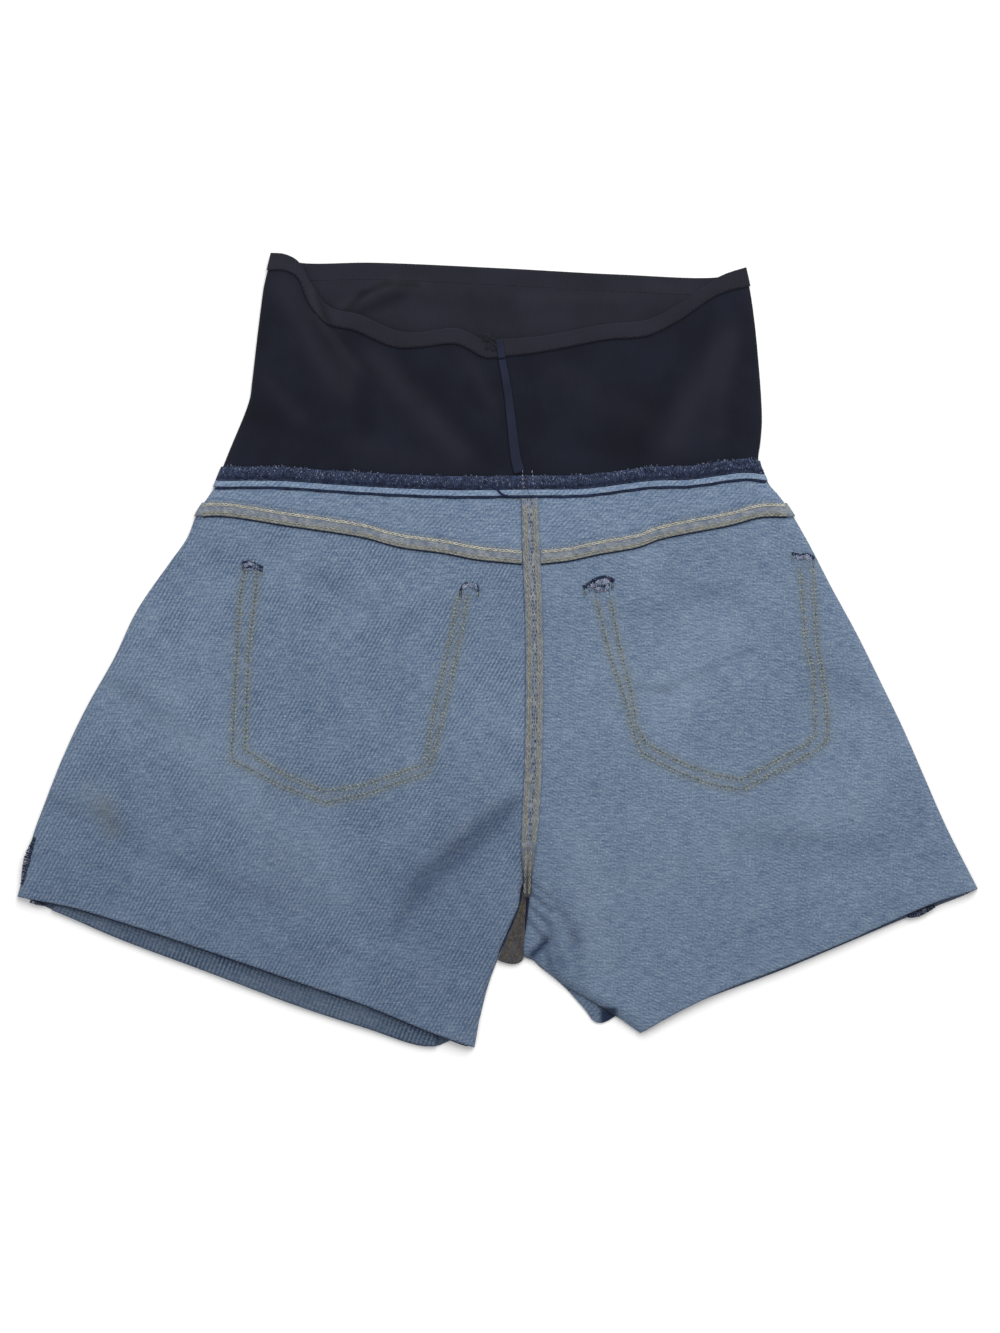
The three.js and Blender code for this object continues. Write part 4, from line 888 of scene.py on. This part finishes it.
def chain(threads, line, side, out, pitch=3.1, width=1.25, radius=0.3, base=None, a=0.0, b=1.0):
    """A row of chain stitches: each loop opens from a point and closes over the next."""
    n = max(2, int(line.length * (b - a) / pitch))
    shares = np.linspace(a, b, n + 1)
    t = np.linspace(0, 1, 6)
    for u0, u1 in zip(shares[:-1], shares[1:]):
        u = mix(u0, u1 + 0.12 * (u1 - u0), t)
        mid, normal = line.at(np.minimum(1, u)), line.normal(np.minimum(1, u))
        wob = jitter(0.15)
        for turn in (-1, 1):
            p = mid + normal * ((turn * width / 2) * np.sin(math.pi * np.clip(t, 0, 1) ** 0.8) + wob)[:, None]
            q = level(p, base) if base is not None else height_at(p, side, out)
            q[:, 2] += 0.25 * np.sin(math.pi * t) + rng.uniform(-0.05, 0.08)
            threads.add(q, radius * rng.uniform(0.85, 1.15), 4)


def dashes(threads, line, side, out, pitch=3.1, share=0.78, radius=0.3, a=0.0, b=1.0, skip=0.0, stray=0.2):
    """A row of single stitches, some of them missing. share is how much of the pitch a stitch fills."""
    n = max(2, int(line.length * (b - a) / pitch))
    shares = np.linspace(a, b, n + 1)
    for u0, u1 in zip(shares[:-1], shares[1:]):
        if rng.random() < skip:
            continue
        t = np.linspace(0, share, 4)
        u = mix(u0, u1, t)
        p = line.at(u) + line.normal(u) * jitter(stray)
        q = height_at(p, side, out)
        q[:, 2] += 0.16 * np.sin(math.pi * t / share)
        threads.add(q, radius * rng.uniform(0.8, 1.15), 5)


# Felled centre back seam: two rows of chain stitches that draw together towards the crotch
mid = Line(CENTRE_FELL)
for offset in (-3.1, 3.1):
    chain(gold, mid.beside(offset), "both", ON_STRIP, width=1.9, radius=0.36, a=0.02, b=0.86)
for offset in (-1.4, 1.4):
    chain(gold, mid.beside(offset), "both", ON_STRIP, radius=0.24, width=1.0, a=0.87, b=0.99)
for offset in (-0.9, 0.2, 1.2):
    dashes(pit, mid.beside(offset), "both", ON_STRIP - 0.1, pitch=2.4, share=0.6, radius=0.34, b=0.86, skip=0.45,
           stray=0.4)

# Felled yoke seams, with a shadow thread under the low edge and fray over the high one
for side, turn in (("left", -1), ("right", 1)):
    base_line = Line(YOKE[side][:-1] + [(22 + turn * 6.4, YOKE[side][-1][1])])
    chain(cream, shifted(base_line, 2.4), side, ON_STRIP, pitch=2.7, width=1.3, radius=0.36, a=0.01)
    chain(gold, shifted(base_line, -3.6), side, ON_STRIP, pitch=2.9, width=1.8, radius=0.36, a=0.008)
    dashes(gold, shifted(base_line, -1.8), side, ON_STRIP, pitch=3.3, share=0.55, radius=0.2, a=0.03, skip=0.35)
    under = shifted(base_line, -5.5).at(np.linspace(0.01, 1, 150))
    navy.add(height_at(under, side, 0.3), 0.42 + 0.1 * np.sin(np.arange(150) * 1.7), 5)
    line = shifted(base_line, 3.6)
    for u in np.linspace(0.03, 0.995, int(line.length / 0.75)):
        p = line.at(u) + jitter(0.4, 2)
        tip = p + (jitter(0.9), rng.uniform(0.4, 1.7))
        cream.add(height_at(np.array([p, (p + tip) / 2, tip]), side, 0.9) + FRAY_RISE, 0.12, 3)

# Crotch seam between the legs: two rows of stitches, a dark tube in the gap at its right side as painted shadow, and a
# thin dark line along its left side
rows = [Line(CROTCH[side]).at(np.linspace(0.12, 1, 30)) for side in ("left", "right")]
for offset in (0.28, 0.72):
    row = Line(mix(*rows, offset), False)
    chain(dim, row, "both", 0, pitch=2.9, width=1.1, radius=0.26, base=DENIM + GAP + SEWN + 0.1)
for points, z, radius in (
    ([(20.2, -150), (20, -158), (19.6, -166), (18.6, -177), (17.6, -188)], 1.3, 1.0),
    ([(16.4, -150), (15, -158), (13.2, -166), (10.6, -173), (5.6, -184), (1.6, -193)], 2.4, 0.55),
):
    navy.add(level(Line(points).at(np.linspace(0, 1, 30)), z), radius, 6)

# Overlocking over the waist allowance: needle rows, looper zigzag and a frayed top edge
for side in ("left", "right"):
    seam = Line(WAIST[side][:-1] + [(20.8, 99)])
    low_line, high_line = shifted(seam, 5.0), shifted(seam, 12.6)
    for u in np.linspace(0.012, 0.992, int(seam.length / 1.25)):
        reach = rng.uniform(-1.0, 0.9) + 0.8 * math.sin(u * 40 + 2 * math.sin(u * 17))
        a, b = low_line.at(u), high_line.at(mix(0.036, 1, u)) + (jitter(0.7), reach)
        for start, stop in ((a, b), (b, low_line.at(min(1, u + 0.6 / seam.length)))):
            p = np.array([start, mix(start, stop, 0.35) + jitter(0.35, 2), mix(start, stop, 0.7), stop])
            q = height_at(p, side, ON_STRIP + 0.1)
            q[:, 2] += (0, 0.25, 0.3, -0.1)
            serge.add(q, rng.uniform(0.22, 0.36), 4)
        for _ in range(4):
            share = rng.beta(2.3, 1.0)
            p = mix(a, b, share) + jitter(0.5, 2)
            tip = p + (jitter(0.6), jitter(1.3))
            q = height_at(np.array([p, (p + tip) / 2 + jitter(0.2, 2), tip]), side, ON_STRIP + 0.62)
            if rng.random() < 0.52:
                lint.add(q, rng.uniform(0.1, 0.2), 3)
        if rng.random() < 0.5:
            p = b + rng.uniform(-0.8, 0.3, 2)
            tip = p + (jitter(1.4), rng.uniform(-0.3, 1.6))
            q = height_at(np.array([p, (p + tip) / 2 + jitter(0.3, 2), tip]), side, ON_STRIP + 0.4)
            (serge if rng.random() < 0.6 else lint).add(q, rng.uniform(0.09, 0.16), 3)
    dashes(navy, shifted(seam, 6.6), side, ON_STRIP + 0.3, pitch=2.8, share=0.8, radius=0.28, a=0.012, b=0.99)
    # Dark line where the yoke turns up
    u = np.linspace(0.004, 0.998, 160)
    navy.add(height_at(shifted(seam, -0.7).at(u), side, 0.35), 0.78 + 0.14 * np.sin(u * 60), 6)


# Pocket stitching, seen from its wrong side, and the bar tacks at the pocket mouths
def rope(line, side, pitch=2.5, half=1.55):
    """Looper side of a row of chain stitches: slanted loops that meet in the middle, with a pit at each."""
    n = int(line.length / pitch)
    for k in range(n):
        u = (k + jitter(0.12)) / n
        step = 1.0 / n
        for turn in (-1, 1):
            if rng.random() < 0.1:
                continue
            share = np.clip([u, u + 0.3 * step, u + 0.62 * step], 0, 1)
            reach = np.array([half, 0.75 * half, 0.15]) * turn * rng.uniform(0.85, 1.12)
            p = line.at(share) + line.normal(share) * reach[:, None]
            q = height_at(p, side, 0.0)
            q[:, 2] += (0.0, 0.28, 0.05)
            (tan if rng.random() < 0.82 else gold).add(q, rng.uniform(0.3, 0.42), 4)
        if rng.random() < 0.75:
            share = np.clip([u + 0.66 * step, u + 0.9 * step], 0, 1)
            p = line.at(share) + jitter(0.5, 2)
            pit.add(height_at(p, side, 0.02), rng.uniform(0.3, 0.46), 5)


for side, rows in POCKET_ROWS.items():
    for row in rows:
        rope(Line(row, False), side)


def tack(side, points, size, pale, legs=0.0):
    """Bar tack: a dark frayed ridge along points with pale worn threads beside it."""
    line = Line(points)
    for _ in range(int(line.length * 5.5)):
        u = rng.uniform(0, 1)
        c, n = line.at(u), line.normal(u)
        reach = rng.uniform(0.4, 1.35) * size
        p = np.array([c - n * reach, c + jitter(0.3, 2), c + n * reach + jitter(0.3, 2)])
        q = height_at(p, side, 0.25)
        q[:, 2] += (0, 0.5, 0)
        navy.add(q, rng.uniform(0.18, 0.3), 4)
    for _ in range(int(pale * 75)):
        u = rng.uniform(0.12, 0.88)
        c = line.at(u) - line.normal(u) * rng.uniform(0.3, 3.2) * size
        p = np.array([c, c + jitter(1, 2), c + jitter(1.6, 2)])
        threads = lint if rng.random() < 0.97 else rust
        threads.add(height_at(p, side, rng.uniform(0.3, 0.9)), rng.uniform(0.16, 0.3), 4)
    for _ in range(int(legs * 14)):
        end = line.at(rng.choice([0.04, 0.96])) + jitter(0.6, 2)
        p = np.array([end, end - (jitter(0.6), rng.uniform(1.5, 3)),
                      end - (jitter(1), rng.uniform(3, 6.5))])
        (navy if rng.random() < 0.4 else tan).add(height_at(p, side, 0.35), 0.16, 3)


tack("left", [(-163.5, 56), (-158, 56.6), (-153, 54.4), (-149.6, 53)], 0.7, 0.8, 0.3)
tack("left", [(-162, 53.2), (-155, 53), (-150, 50.6)], 0.5, 0.2, 0.2)
tack("left", [(-23.2, 38.6), (-21.4, 42), (-17.4, 43), (-13, 42), (-11.8, 38)], 0.62, 1.6, 1.2)
tack("right", [(55.4, 40.2), (59, 42.4), (64, 45.6), (70, 46.6), (74.8, 44.4)], 1.25, 1.7, 0.9)
tack("right", [(62, 40.4), (67, 40.6), (72, 42)], 0.8, 0.8, 0.2)
tack("right", [(188.2, 62.6), (193, 60.8), (199, 61.4), (203.4, 59)], 0.9, 1.1, 0.4)


# Overlocked allowances that look out at the edges, and under each leg opening's fold a dark line as painted shadow
def overlock(points, side, out, width, pitch, base=None):
    """Loops wound across a line, over the upper layer or at the height base."""
    line = Line(points)
    for u in np.linspace(0, 1, max(4, int(line.length / pitch))):
        c, n = line.at(u), line.normal(u)
        w = width * (0.45 + 0.55 * math.sin(math.pi * min(0.95, max(0.05, u)))) * rng.uniform(0.85, 1.1)
        p = np.array([c - n * w * 0.5, c + jitter(0.2, 2), c + n * w * 0.5])
        q = np.concatenate([p, [[base], [base + 0.6], [base]]], -1) if base else height_at(p, side, out)
        (navy if rng.random() < 0.72 else serge).add(q, rng.uniform(0.34, 0.5), 5)
        if rng.random() < 0.3:
            lint.add(q[1:] + (0, 0, 0.4), 0.12, 3)


overlock([(-296, -120), (-299.4, -129), (-302.2, -140), (-304.2, -149.5)], "left", 0.15, 4.2, pitch=0.9)
overlock([(-299, -160.9), (-294, -162), (-289, -163.2)], "left", 0, 2.1, pitch=0.8, base=3.3)
overlock([(263.4, -170.2), (268, -169.4), (273, -167), (280, -163.8)], "right", 0, 3.6, pitch=0.7, base=3.3)
# Side, shares, drop, radius and depth under the fold of each leg opening's dark line of painted shadow
EDGE_LINES = (("left", 0.03, 0.985, -0.3, 0.5, 1.7), ("right", 0.1, 0.62, 0.3, 0.42, 1.7))
for side, a, b, drop, radius, depth in EDGE_LINES:
    u = np.linspace(a, b, 150)
    q = height_at(Line(HEM[side]).beside(drop).at(u), side, -depth)
    navy.add(q, radius * (1 + 0.18 * np.sin(u * 47) + 0.12 * np.sin(u * 131)), 6)

# Where the two halves' waist seams cross, and the centre seam's pale stitches over them
p = Line([(-9, 107.8), (-1, 104), (4, 99.4), (14, 98.4), (24, 98.2)]).at(np.linspace(0, 1, 30))
navy.add(height_at(p, "both", 1.5), 0.75, 6)
for x in (16.2, 22.6):
    dashes(lint, Line([(x, 115), (x + 0.8, 100)]), "both", 1.75, pitch=2.2, share=0.6, radius=0.24, skip=0.15)
    dashes(rust, Line([(x + 1, 113), (x + 1.8, 100)]), "both", 1.7, pitch=2.6, share=0.5, radius=0.2, skip=0.3)

# Frayed thread ends where the centre seam meets the belly panel's hem
for _ in range(40):
    p = np.array([rng.uniform(-9.5, 2.5), rng.uniform(192, 203.5)])
    q = np.array([p, p + jitter(1.4, 2), p + jitter(2.4, 2)])
    coal.add(height_at(q, "both", 2 * GAP + 0.95), rng.uniform(0.16, 0.32), 4)

# Stitch line of the front's own hem, on the charcoal face
front_hem = front_top.beside(-10.6)
for u0 in np.arange(0.05, 0.95, 3.0 / front_hem.length):
    p = front_hem.at(np.linspace(u0, u0 + 2.2 / front_hem.length, 4))
    coal.add(level(p, front_height(p) + JERSEY + 0.02), 0.26, 4)

# Stitch line of the belly panel's hem, on both of its layers
for side in ("left", "right"):
    row = Line(BELLY_HEM[side]).beside(0.9 if side == "left" else -0.9)
    dashes(coal, row, side, GAP + JERSEY + 0.02, pitch=3.0, share=0.8, radius=0.2, a=0.03)

for name, threads in THREADS.items():
    threads.build(f"thread_{name}", name)

# ---- Floor, light, camera ----

floor_material = Nodes("floor", 0.9, 0)
floor_material.shader.inputs["Base Color"].default_value = (0.95, 0.95, 0.95, 1)
bpy.ops.mesh.primitive_plane_add(size=6, location=(0, 0, -0.0004))
floor = bpy.context.object
floor.name = "floor"
floor.data.materials.append(floor_material.mat)


def area_light(name, where, size, power, colour=(1, 1, 1)):
    data = bpy.data.lights.new(name, "AREA")
    data.size, data.energy, data.color = size, power, colour
    obj = bpy.data.objects.new(name, data)
    obj.location = where
    obj.rotation_euler = (-Vector(where)).to_track_quat("-Z", "Y").to_euler()
    bpy.context.scene.collection.objects.link(obj)


area_light("light_key", (0.5, 1.2, 1.5), 1.8, 44, (1, 0.99, 0.97))
area_light("light_fill", (-1.3, -0.4, 1.9), 1.8, 11, (0.97, 0.98, 1))
world = bpy.data.worlds.new("studio")
world.use_nodes = True
background = world.node_tree.nodes["Background"]
background.inputs["Color"].default_value = (1, 1, 1, 1)
background.inputs["Strength"].default_value = 0.47
bpy.context.scene.world = world
bpy.context.scene.view_settings.view_transform = "Standard"

# The photo's frame is 640 by 853 mm at the cloth, seen from straight above
VIEW_HEIGHT, VIEW_CENTRE, PHOTO_TALL = 1.9, (1.92, -10.24), 853.1
camera_data = bpy.data.cameras.new("camera")
camera_data.sensor_fit = "VERTICAL"
camera_data.sensor_height = 36
camera_data.lens = 36 * (VIEW_HEIGHT - 0.005) / (PHOTO_TALL * MM)
camera = bpy.data.objects.new("camera", camera_data)
camera.location = ((VIEW_CENTRE[0] + SHIFT[0]) * MM, (VIEW_CENTRE[1] + SHIFT[1]) * MM, VIEW_HEIGHT)
bpy.context.scene.collection.objects.link(camera)
bpy.context.scene.camera = camera
